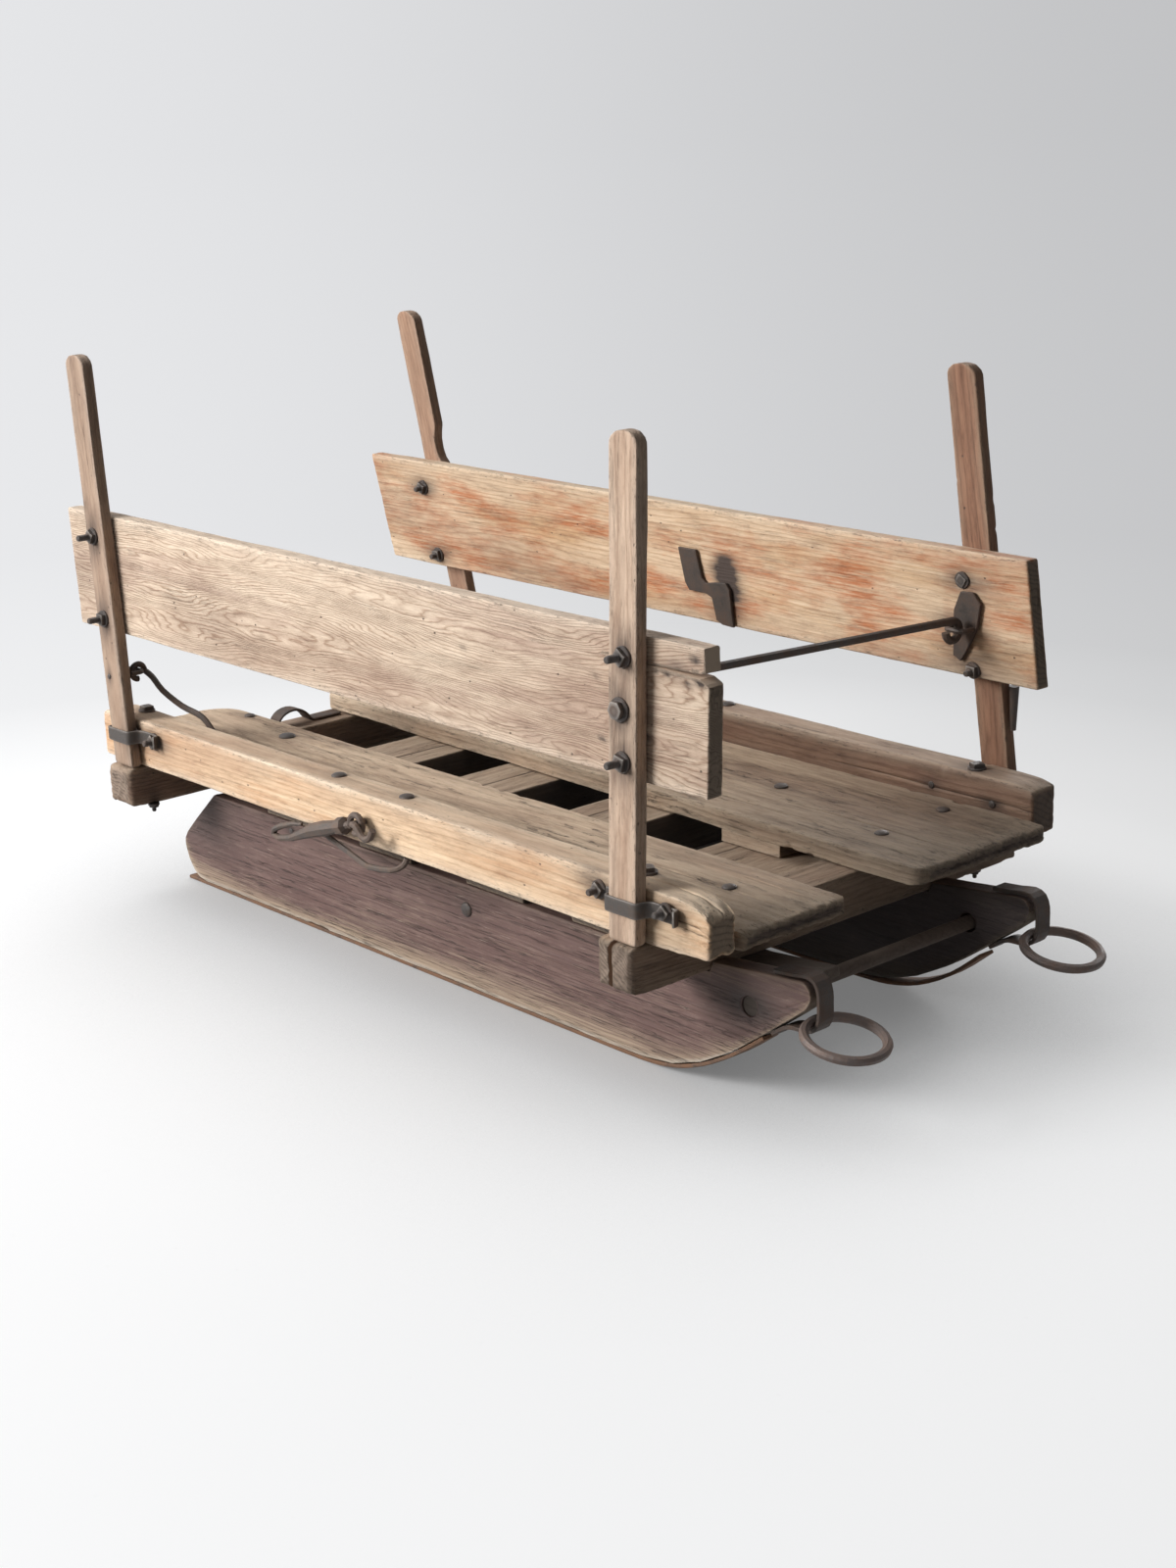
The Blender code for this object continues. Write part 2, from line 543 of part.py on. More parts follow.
# Side boards, bolted to the inner faces of the stakes; the right one is split at its front end
for side, rear_x, fore_x, rear_share, fore_share in (
        ("right", BOARD_RIGHT_REAR_X, BOARD_RIGHT_FRONT_X, BOARD_RIGHT_REAR_SHARE, BOARD_RIGHT_FRONT_SHARE),
        ("left", BOARD_LEFT_REAR_X, BOARD_LEFT_FRONT_X, BOARD_LEFT_REAR_SHARE, BOARD_LEFT_FRONT_SHARE)):
    s = side_sign(side)
    outer = s * (HALF_OVER_RAILS + STAKE_GAP - GAP)
    y0, y1 = sorted((outer, outer - s * BOARD_THICK))
    rear = along(rear_x)
    front = along(fore_x)
    high = BOARD_TOP - BOARD_LOW
    outline = [(rear + rear_share * BOARD_TOP + BOARD_CORNER, BED_HIGH + BOARD_TOP),
               (rear + rear_share * BOARD_TOP, BED_HIGH + BOARD_TOP - BOARD_CORNER * 0.8),
               (rear + rear_share * BOARD_LOW, BED_HIGH + BOARD_LOW + BOARD_CORNER),
               (rear + rear_share * BOARD_LOW + BOARD_CORNER, BED_HIGH + BOARD_LOW),
               (front + fore_share * BOARD_LOW, BED_HIGH + BOARD_LOW)]
    if side == "right":
        outline += [(front + fore_share * (BOARD_LOW + high * up) + BOARD_SPLIT_LEN * run,
                     BED_HIGH + BOARD_LOW + high * up) for run, up in BOARD_SPLIT_SHARES]
    else:
        outline += [(front + fore_share * BOARD_TOP, BED_HIGH + BOARD_TOP)]
    board = slab("side_board_" + side, outline, y0, y1, -s * lean_share(side), RAIL_TOP)
    finish(board, "board", EDGE_SOFT * 0.5 if side == "right" else EDGE_SOFT)

# Front cross rod through the runner noses, a head sunk in each runner
right_end = RUNNER_OUTER_RIGHT - EDGE_SOFT
left_end = -RUNNER_OUTER_LEFT + EDGE_SOFT
profile = [(0.0, right_end), (ROD_HEAD_R, right_end), (ROD_HEAD_R, right_end - ROD_HEAD_LEN),
           (ROD_R, right_end - ROD_HEAD_LEN), (ROD_R, left_end + ROD_HEAD_LEN),
           (ROD_HEAD_R, left_end + ROD_HEAD_LEN), (ROD_HEAD_R, left_end), (0.0, left_end)]
bm = bmesh.new()
verts = [bm.verts.new((r, 0.0, z)) for r, z in profile]
for a, b in zip(verts, verts[1:]):
    bm.edges.new((a, b))
data = bpy.data.meshes.new("cross_rod")
bm.to_mesh(data)
bm.free()
cross = bpy.data.objects.new("cross_rod", data)
SLED.objects.link(cross)
cross.rotation_euler = (math.radians(90), 0.0, 0.0)
cross.location = (along(ROD_X), 0.0, ROD_Z)
turn = cross.modifiers.new("turn", "SCREW")
turn.axis = "Z"
turn.steps = 24
turn.render_steps = 24
turn.use_merge_vertices = True
turn.merge_threshold = 0.00005
finish(cross, "grey")

# Brace from under the front bolster over the rod to the right runner's nose
bend = along(BRACE_BEND_X)
tip = along(BRACE_FRONT_X)
top = UNDER_BED - GAP
line = [(along(BRACE_REAR_X), top), (bend, top), (tip, top + BRACE_RISE)]
brace = slab("nose_brace", strip(line, BRACE_THICK), -BRACE_INNER - BRACE_WIDE, -BRACE_INNER)
for vert in brace.data.vertices:
    if vert.co.x > bend + GAP:
        vert.co.y -= BRACE_SWING * (vert.co.x - bend) / (tip - bend)
finish(brace, "grey", EDGE_SOFT)


def eye_turns(where, radius, first, sweep, steps):
    # Part ring in y and z about a point, angles in degrees
    out = []
    for i in range(steps + 1):
        a = math.radians(first + sweep * i / steps)
        out.append((where[0], where[1] + radius * math.cos(a), where[2] + radius * math.sin(a)))
    return out


def bar_eye(name, x, y_face, z, side):
    # Bar along x held off a face by two legs
    s = -side_sign(side)
    stand = y_face + s * EYE_STAND
    foot = y_face + s * (GAP + lean_share(side) * EYE_STOCK_R)
    bend = EYE_HALF * 0.35
    path = [(x - EYE_HALF, foot, z), (x - EYE_HALF, stand - s * bend, z),
            (x - EYE_HALF + bend * 0.3, stand - s * bend * 0.3, z), (x - EYE_HALF + bend, stand, z),
            (x + EYE_HALF - bend, stand, z), (x + EYE_HALF - bend * 0.3, stand - s * bend * 0.3, z),
            (x + EYE_HALF, stand - s * bend, z), (x + EYE_HALF, foot, z)]
    rod(name, path, EYE_STOCK_R)
    return Vector((x, stand, z))


# Front tie rod: eye round a bar on the left board, bent end dropped in a staple on the right board
outer = HALF_OVER_RAILS + STAKE_GAP - BOARD_THICK - 2 * GAP
tie_plate = slab("tie_plate", [(along(x), z) for x, z in PLATE_LINE], outer - TIE_PLATE_THICK, outer,
                 -LEAN_LEFT_SHARE, RAIL_TOP)
finish(tie_plate, "iron", EDGE_IRON, 1)
plate_face = board_inner("left", TIE_LEFT_Z) - GAP - TIE_PLATE_THICK
pivot = bar_eye("tie_eye_left", along(TIE_X), plate_face, TIE_LEFT_Z, "left")
peg_x = along(TIE_X)
peg_y = board_inner("right", TIE_RIGHT_Z) + PEG_REACH
bend = TIE_R * 3
seat = TIE_EYE_R - TIE_R - EYE_STOCK_R - GAP
path = eye_turns(pivot - Vector((0.0, seat, 0.0)), TIE_EYE_R, -178.0, 268.0, 20)
path += [(peg_x, peg_y + bend, TIE_RIGHT_Z), (peg_x, peg_y + bend * 0.3, TIE_RIGHT_Z - bend * 0.2),
         (peg_x, peg_y, TIE_RIGHT_Z - bend * 0.9), (peg_x, peg_y, TIE_RIGHT_Z - TIE_DROP)]
rod("tie_rod", path, TIE_R, origin=pivot)
staple_z = TIE_RIGHT_Z - TIE_DROP * 0.62
foot = board_inner("right", staple_z) + GAP + LEAN_RIGHT_SHARE * EYE_STOCK_R
out = foot + STAPLE_REACH
soft = STAPLE_HALF * 0.7
path = [(peg_x - STAPLE_HALF, foot, staple_z), (peg_x - STAPLE_HALF, out - soft, staple_z),
        (peg_x - STAPLE_HALF * 0.75, out - soft * 0.3, staple_z), (peg_x - STAPLE_HALF * 0.3, out, staple_z),
        (peg_x + STAPLE_HALF * 0.3, out, staple_z), (peg_x + STAPLE_HALF * 0.75, out - soft * 0.3, staple_z),
        (peg_x + STAPLE_HALF, out - soft, staple_z), (peg_x + STAPLE_HALF, foot, staple_z)]
rod("tie_staple_right", path, EYE_STOCK_R)

# Rear tie rod: hangs from a bar eye on the right rear stake, its free end lies on the plank
rear_pivot = bar_eye("rear_eye_right", along(REAR_EYE_X), stake_inner("right", REAR_EYE_Z), REAR_EYE_Z, "right")
seat = HANG_EYE_R - HANG_R - EYE_STOCK_R - GAP
path = eye_turns(rear_pivot - Vector((0.0, 0.0, seat)), HANG_EYE_R, 268.0, -268.0, 20)
hang = [(rear_pivot.x + x, -RAIL_INNER + y, DECK_TOP + z) for x, y, z in HANG_LINE]
path += smooth_path([path[-1]] + hang, 3)[1:]
rod("rear_tie_rod", path, HANG_R, origin=rear_pivot)

# Z shaped flat iron on the inner face of the left board
zed = slab("board_bracket", [(along(x), z) for x, z in Z_LINE], outer - BRACKET_THICK, outer,
           -LEAN_LEFT_SHARE, RAIL_TOP)
finish(zed, "iron", EDGE_IRON, 1)

# Snap, rusted on a hook in the right rail: open hook, thick body, collar and eye in one forging
rail_face = -HALF_OVER_RAILS - GAP
snap_y = rail_face - SNAP_OUT
path = [(along(x), snap_y, z) for x, z in SNAP_LINE]
swell = list(SNAP_RADIUS_SHARES)
slope = math.atan2(SNAP_LINE[-1][1] - SNAP_LINE[-3][1], SNAP_LINE[-1][0] - SNAP_LINE[-3][0])
for i in range(15):
    a = slope + math.radians(188) - math.radians(322) * i / 14
    path.append((along(SNAP_EYE_X) + SNAP_EYE_R * math.cos(a), snap_y, SNAP_EYE_Z + SNAP_EYE_R * math.sin(a)))
    swell.append(0.9)
rod("snap", path, SNAP_STOCK_R, swell=swell)
path = [(along(HOOK_X), rail_face, HOOK_Z)]
path += smooth_path([(along(HOOK_X + x), rail_face - y, HOOK_Z + z) for x, y, z in HOOK_LINE], 2)
rod("rail_hook", path, HOOK_R)

# Bent rod that hangs under the right rail
path = smooth_path([(along(x), rail_face - y, BED_HIGH + z) for x, y, z in BENT_LINE], 2)
rod("bent_rod", path, BENT_R)

# Curled strap on the rear bolster, in the gap between the planks
line = [(y, BED_HIGH + GAP + max(z, 0.0)) for y, z in smooth_path(KEEPER_LINE, 2)]
start = along(BOLSTER_REAR_X + KEEPER_SET_IN)
keeper = rib("bolster_keeper", strip(line, -STRAP_THICK), start, start + KEEPER_WIDE)
finish(keeper, "iron", EDGE_IRON, 1)

# Tapered pin that hangs by the left front stake
pin_y = stake_inner("left", PIN_LOW) + STAKE_THICK / 2
pin_x = along(STAKE_LEFT_FRONT_X) + STAKE_WIDE + PIN_R + 2 * GAP
pin_x += BACK_LEFT_FRONT_SHARE * (PIN_TOP - BED_HIGH)
bm = bmesh.new()
bmesh.ops.create_cone(bm, cap_ends=True, segments=16, radius1=PIN_R * 0.55, radius2=PIN_R,
                      depth=PIN_TOP - PIN_LOW, matrix=Matrix.Translation((pin_x, pin_y, (PIN_TOP + PIN_LOW) / 2)))
finish(mesh_object("stake_pin", bm), "iron")
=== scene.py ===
# Old wooden farm sled: timbers worked out as worn surfaces, ironwork, bolts and their finishes
import math
import bpy
import numpy as np
from mathutils import Matrix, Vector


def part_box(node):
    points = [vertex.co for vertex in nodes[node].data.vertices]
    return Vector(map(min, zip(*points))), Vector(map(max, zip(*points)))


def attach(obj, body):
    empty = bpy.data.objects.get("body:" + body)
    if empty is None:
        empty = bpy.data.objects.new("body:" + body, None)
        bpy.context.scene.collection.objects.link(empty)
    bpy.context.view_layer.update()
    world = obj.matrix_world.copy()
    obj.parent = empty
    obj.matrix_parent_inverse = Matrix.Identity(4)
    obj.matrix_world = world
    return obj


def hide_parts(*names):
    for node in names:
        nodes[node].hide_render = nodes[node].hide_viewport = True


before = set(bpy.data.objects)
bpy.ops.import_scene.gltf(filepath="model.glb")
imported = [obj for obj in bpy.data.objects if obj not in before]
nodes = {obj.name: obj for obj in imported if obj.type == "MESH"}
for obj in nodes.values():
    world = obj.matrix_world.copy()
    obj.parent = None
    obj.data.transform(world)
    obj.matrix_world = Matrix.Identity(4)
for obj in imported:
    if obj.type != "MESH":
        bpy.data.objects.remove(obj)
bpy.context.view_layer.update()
railRear = -0.6536            # rear end of the rails in the sled's frame
bedTop = 0.2353               # top of the bed planks
railTop = 0.2763              # top of the rails
bedLow = 0.208                # top of the bolsters, where the bed lies
woodLow = 0.2083              # underside of rails and planks
bolsterLow = 0.1483           # underside of bolsters and bearers
acrossView = (0.664, 0.748, 0.0)  # level way across the picture


def boxOf(node):
    # lowest and highest corner of a solid as plain lists
    low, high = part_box(node)
    return [float(v) for v in low], [float(v) for v in high]


# camera, light and floor
view = {"place": (2.3854, -2.0761, 1.1715), "turn": 48.397, "tilt": 16.710, "roll": -1.606, "lens": 74.8}
studio = {"keyPower": 520.0, "keySize": 3.0, "keyPlace": (-2.7, -5.0, 2.95), "keyAim": (0.0, 0.0, 0.35),
          "topPower": 54.0, "topSize": 3.0, "topPlace": (-1.9, -0.9, 3.2), "topAim": (0.0, 0.0, 0.0),
          "fillPower": 95.0, "fillSize": 2.5, "fillPlace": (-1.6, 4.4, 1.7), "fillAim": (0.0, 0.0, 0.35),
          "ambient": 0.095, "floorBounce": 0.24, "floorReach": 400.0}


def makeCamera():
    # the camera looks back along its own z axis; right and up come from its turn, tilt and roll
    turn, tilt, roll = (math.radians(view[k]) for k in ("turn", "tilt", "roll"))
    back = np.array([math.sin(turn) * math.cos(tilt), -math.cos(turn) * math.cos(tilt), math.sin(tilt)])
    right = np.array([math.cos(turn), math.sin(turn), 0.0])
    up = np.cross(back, right)
    x = right * math.cos(roll) + up * math.sin(roll)
    y = up * math.cos(roll) - right * math.sin(roll)
    data = bpy.data.cameras.new("camera")
    data.sensor_fit = "HORIZONTAL"
    data.sensor_width = 36.0
    data.lens = view["lens"]
    cam = bpy.data.objects.new("camera", data)
    bpy.context.scene.collection.objects.link(cam)
    cam.matrix_world = Matrix([[x[i], y[i], back[i], view["place"][i]] for i in range(3)] + [[0, 0, 0, 1]])
    bpy.context.scene.camera = cam


def lamp(name, place, power, size, aim):
    # round lamp; its turn follows from the way from its place to its aim
    data = bpy.data.lights.new(name, "AREA")
    data.shape = "DISK"
    data.energy = power
    data.size = size
    obj = bpy.data.objects.new(name, data)
    obj.location = place
    way = np.array(aim) - np.array(place)
    flat = math.hypot(way[0], way[1])
    obj.rotation_euler = (math.atan2(flat, -way[2]), 0.0, math.atan2(way[1], way[0]) - math.pi / 2)
    bpy.context.scene.collection.objects.link(obj)


def makeStudio():
    # three lamps and a pale world; what the camera sees of the world carries painted shade, darker to the right of
    # the picture: tone = 0.95 - 0.24 tanh(way across the picture / 0.25)
    for name in ("key", "top", "fill"):
        lamp(name, *(studio[name + what] for what in ("Place", "Power", "Size", "Aim")))
    world = bpy.data.worlds.new("studio")
    world.use_nodes = True
    bpy.context.scene.world = world
    world.node_tree.nodes.clear()
    f = Nodes(world.node_tree)
    side = f.node("VectorMath", f.node("TexCoord").node.outputs["Generated"], acrossView,
                  operation="DOT_PRODUCT", out=1)
    # painted shade: the world the camera sees darkens towards the right of the picture
    tone = f.timesPlus(f.math("TANH", f.math("DIVIDE", side, 0.25)), -0.24, 0.95)
    glow = f.node("Background", (0.96, 0.98, 1.0, 1.0), studio["ambient"])
    pale = f.node("Background", (0.70, 0.705, 0.72, 1.0), tone)
    out = f.tree.nodes.new("ShaderNodeOutputWorld")
    f.link(f.node("MixShader", f.seen(), glow, pale), out.inputs[0])


# small node helpers
class Nodes:
    # a node tree and a few ways to add to it
    def __init__(self, tree):
        self.tree = tree

    def link(self, source, socket):
        # a number or colour is set on the socket, anything else is linked to it
        if isinstance(source, (int, float)):
            socket.default_value = source
        elif isinstance(source, tuple):
            socket.default_value = source if len(source) == 4 or socket.type != "RGBA" else (*source, 1.0)
        else:
            self.tree.links.new(source, socket)

    def node(self, kind, *values, out=0, **settings):
        # one node with its settings and its first inputs; gives one of its outputs
        made = self.tree.nodes.new("ShaderNode" + kind)
        for key, value in settings.items():
            setattr(made, key, value)
        for i, value in enumerate(values):
            if value is not None:
                self.link(value, made.inputs[i])
        return made.outputs[out]

    def math(self, kind, *values, clamp=False):
        # one sum on numbers, held between 0 and 1 where clamp is set
        return self.node("Math", *values, operation=kind, use_clamp=clamp)

    def attribute(self, name, out=2):
        # value that setAttribute gave the mesh
        return self.node("Attribute", attribute_name=name, out=out)

    def times(self, *values, **how):
        # a times b
        return self.math("MULTIPLY", *values, **how)

    def timesPlus(self, *values, **how):
        # a times b, plus c
        return self.math("MULTIPLY_ADD", *values, **how)

    def stretch(self, place, scale):
        # place times scale, so that a pattern is drawn out along one way
        return self.node("Mapping", place, (0.0, 0.0, 0.0), (0.0, 0.0, 0.0), scale)

    def seen(self):
        # 1 for light that reaches the camera straight, mirrored or through something clear
        rays = self.node("LightPath").node.outputs
        mirrored = self.math("MAXIMUM", rays["Is Glossy Ray"], rays["Is Transmission Ray"])
        return self.math("MAXIMUM", rays["Is Camera Ray"], mirrored)

    def grain(self, place, along, across, detail=4.0, rough=0.55):
        # noise with one scale along the grain and one across it
        return self.noise(self.stretch(place, (along, across, across)), 1.0, detail, rough)

    def threads(self, value, wide):
        # thin lines: 1 where the value passes 0.5, falling to 0 at the width
        return self.ramp(self.math("ABSOLUTE", self.math("SUBTRACT", value, 0.5)), (0.0, 1.0), (wide, 0.0))

    def noise(self, place, scale, detail=4.0, rough=0.55, warp=0.0, out=0):
        # cloudy pattern between 0 and 1
        made = self.tree.nodes.new("ShaderNodeTexNoise")
        for key, value in (("Vector", place), ("Scale", scale), ("Detail", detail), ("Roughness", rough),
                           ("Distortion", warp)):
            self.link(value, made.inputs[key])
        return made.outputs[out]

    def ramp(self, value, *stops):
        # straight lines between stops of place and shade
        made = self.tree.nodes.new("ShaderNodeValToRGB")
        self.link(value, made.inputs[0])
        marks = made.color_ramp.elements
        while len(marks) < len(stops):
            marks.new(0.5)
        for mark, (where, shade) in zip(marks, stops):
            mark.position = where
            mark.color = (*shade, 1.0) if isinstance(shade, tuple) else (shade, shade, shade, 1.0)
        return made.outputs[0]

    def blend(self, amount, a, b, kind="MIX"):
        # a plus amount times (b less a), or a times b
        made = self.tree.nodes.new("ShaderNodeMix")
        made.data_type = "RGBA"
        made.blend_type = kind
        self.link(amount, made.inputs[0])
        self.link(a, made.inputs[6])
        self.link(b, made.inputs[7])
        return made.outputs[2]


class Finish(Nodes):
    # a material with its main shader
    def __init__(self, name):
        self.mat = bpy.data.materials.new(name)
        self.mat.use_nodes = True
        super().__init__(self.mat.node_tree)
        self.shader = self.tree.nodes["Principled BSDF"]

    def finish(self, colour, rough, height=None, depth=0.001, metal=0.0):
        # joins colour, roughness and relief to the shader
        self.link(colour, self.shader.inputs["Base Color"])
        self.link(rough, self.shader.inputs["Roughness"])
        self.shader.inputs["Metallic"].default_value = metal
        if height is not None:
            bump = self.tree.nodes.new("ShaderNodeBump")
            bump.inputs["Distance"].default_value = depth
            bump.inputs["Strength"].default_value = 1.0
            self.link(height, bump.inputs["Height"])
            self.tree.links.new(bump.outputs[0], self.shader.inputs["Normal"])
        return self.mat


def makeFloor():
    # wide floor: pale to the camera, with the sled's shadow, and plainer to the light that bounces; its glow to the
    # camera carries painted light and shade: a painted pool of light near the sled, painted shade towards the right
    # of the picture and a painted contact shadow round the sled
    cells = 9
    step = np.linspace(-studio["floorReach"], studio["floorReach"], cells)
    gridX, gridY = np.meshgrid(step, step, indexing="ij")
    points = np.stack([gridX.ravel(), gridY.ravel(), np.full(gridX.size, -0.0004)], 1)
    floor = meshFrom("floor", points, gridFaces(cells, cells, False))
    f = Finish("studioFloor")
    place = f.node("TexCoord", out=3)
    seen = f.seen()
    far = f.node("VectorMath", place, (0.3, -0.5, 0.0), operation="DISTANCE", out=1)
    across = f.node("VectorMath", place, acrossView, operation="DOT_PRODUCT", out=1)
    wide = f.timesPlus(far, 0.25, 0.7)
    shade = f.math("TANH", f.math("DIVIDE", f.math("ADD", across, -0.1), wide))
    speck = f.ramp(f.noise(place, 60.0, 3.0), (0.70, 0.0), (0.76, 0.25))
    near = f.blend(speck, (0.90, 0.90, 0.905), (0.72, 0.71, 0.70))
    fade = f.ramp(f.math("DIVIDE", far, 5.0), (0.10, 0.58), (0.26, 0.68), (0.50, 1.0))
    fade = f.times(fade, seen)
    colour = f.blend(seen, tuple([studio["floorBounce"]] * 3), near)
    f.finish(f.blend(fade, colour, (0.0, 0.0, 0.0)), 0.6)
    # painted pool of light: the glow is brightest near the sled and falls off with distance
    pale = f.ramp(f.math("DIVIDE", far, 30.0), (0.045, (0.99, 0.995, 1.0)), (0.070, (0.77, 0.775, 0.785)),
                  (0.12, (0.72, 0.725, 0.74)), (0.4, (0.71, 0.715, 0.73)),
                  (1.0, (0.70, 0.705, 0.72)))
    # painted shade: the glow darkens towards the right of the picture and lightens to the left
    tilt = f.timesPlus(shade, f.ramp(f.math("DIVIDE", far, 5.0), (0.1, 0.0), (0.5, 0.24)), 0.05)
    pale = f.node("VectorMath", pale, f.math("SUBTRACT", 1.0, tilt), operation="MULTIPLY")
    f.link(pale, f.shader.inputs["Emission Color"])
    # painted contact shadow: ambient occlusion darkens the glow where the sled stands close
    close = f.ramp(f.node("AmbientOcclusion", None, 0.55, out=1, samples=6), (0.30, 0.28), (0.95, 1.0))
    f.link(f.times(fade, close), f.shader.inputs["Emission Strength"])
    f.shader.inputs["Specular IOR Level"].default_value = 0.0
    floor.data.materials.append(f.mat)


# meshes from arrays
def meshFrom(name, points, faces, smooth=True):
    # faces is a list of index arrays, each with one face per row
    data = bpy.data.meshes.new(name)
    counts = np.concatenate([np.full(len(f), f.shape[1]) for f in faces])
    flat = np.concatenate([f.ravel() for f in faces])
    data.vertices.add(len(points))
    data.vertices.foreach_set("co", np.asarray(points, np.float32).ravel())
    data.loops.add(len(flat))
    data.loops.foreach_set("vertex_index", flat.astype(np.int32))
    data.polygons.add(len(counts))
    data.polygons.foreach_set("loop_start", (np.cumsum(counts) - counts).astype(np.int32))
    data.polygons.foreach_set("use_smooth", np.full(len(counts), smooth))
    data.update(calc_edges=True)
    obj = bpy.data.objects.new(name, data)
    bpy.context.scene.collection.objects.link(obj)
    return obj


def gridFaces(rows, cols, closed):
    # quads between neighbouring rows of a grid; closed joins the last column to the first
    i = np.arange(rows - 1)[:, None] * cols
    j = np.arange(cols if closed else cols - 1)[None, :]
    k = (j + 1) % cols
    quads = np.stack([i + j, i + k, i + cols + k, i + cols + j], -1).reshape(-1, 4)
    return [quads]


def tubeFaces(rows, cols):
    # closed grid with a fan to one point at each end; the two points follow the grid
    quads = gridFaces(rows, cols, True)[0]
    j = np.arange(cols)
    k = (j + 1) % cols
    first, last = rows * cols, rows * cols + 1
    base = (rows - 1) * cols
    return [quads, np.stack([k, j, np.full(cols, first)], -1),
            np.stack([base + j, base + k, np.full(cols, last)], -1)]


def outward(points, faces):
    # turns all faces round if the volume they hold comes out negative
    volume = 0.0
    for f in faces:
        a = points[f[:, 0]]
        for n in range(1, f.shape[1] - 1):
            volume += np.einsum("ij,ij->i", a, np.cross(points[f[:, n]], points[f[:, n + 1]])).sum()
    return faces if volume > 0 else [f[:, ::-1] for f in faces]


def drift(x, y, seed):
    # smooth random height between 0 and 1: a table of random values read between its cells
    table = np.random.RandomState(seed).rand(128, 128)
    x, y = np.broadcast_arrays(np.asarray(x, float), np.asarray(y, float))
    i, j = np.floor(x).astype(int), np.floor(y).astype(int)
    u, v = x - i, y - j
    u, v = u * u * (3 - 2 * u), v * v * (3 - 2 * v)
    read = lambda a, b: table[a % 128, b % 128]
    return (read(i, j) * (1 - u) + read(i + 1, j) * u) * (1 - v) + (read(i, j + 1) * (1 - u) + read(i + 1,
            j + 1) * u) * v


def setAttribute(obj, name, values):
    # one number or one vector for each vertex, read by the finishes
    kind = "FLOAT_VECTOR" if values.ndim == 2 else "FLOAT"
    made = obj.data.attributes.new(name, kind, "POINT")
    made.data.foreach_set("vector" if values.ndim == 2 else "value", np.asarray(values, np.float32).ravel())


def readVertices(obj, what):
    # three numbers for each vertex, places or normals
    values = np.zeros(len(obj.data.vertices) * 3, np.float32)
    obj.data.vertices.foreach_get(what, values)
    return values.reshape(-1, 3)


# timber: a worn rounded rectangle carried along a straight line
def sectionLoop(halfB, halfC, cell, splits):
    # points round a unit rectangle: place on the side from -1 to 1 and the outward normal, corners in six steps
    def side(half, marks):
        count = max(3, int(round(2 * half / cell)))
        line = list(np.linspace(-1, 1, count + 1)[1:-1])
        for at in marks:
            w = 0.0009 / half
            line = [p for p in line if abs(p - at) > 2.2 * w] + [at - w, at, at + w]
        return np.sort(np.array(line))
    bottom, right, top, left = (side(h, [s["at"] for s in splits if s["side"] == n]) for n, h in
                                (("bottom", halfB), ("right", halfC), ("top", halfB), ("left", halfC)))
    turn = np.radians(np.linspace(0, 90, 7))
    parts = []

    def straight(b, c, nb, nc):
        parts.append(np.stack([b + 0 * c, c + 0 * b, nb + 0 * (b + c), nc + 0 * (b + c)], 1))

    def corner(b, c, start):
        a = turn + math.radians(start)
        parts.append(np.stack([np.full(7, b), np.full(7, c), np.cos(a), np.sin(a)], 1))
    straight(bottom, -1.0, 0.0, -1.0)
    corner(1.0, -1.0, -90)
    straight(1.0, right, 1.0, 0.0)
    corner(1.0, 1.0, 0)
    straight(top[::-1], 1.0, 0.0, 1.0)
    corner(-1.0, 1.0, 90)
    straight(-1.0, left[::-1], -1.0, 0.0)
    corner(-1.0, -1.0, 180)
    return np.concatenate(parts)


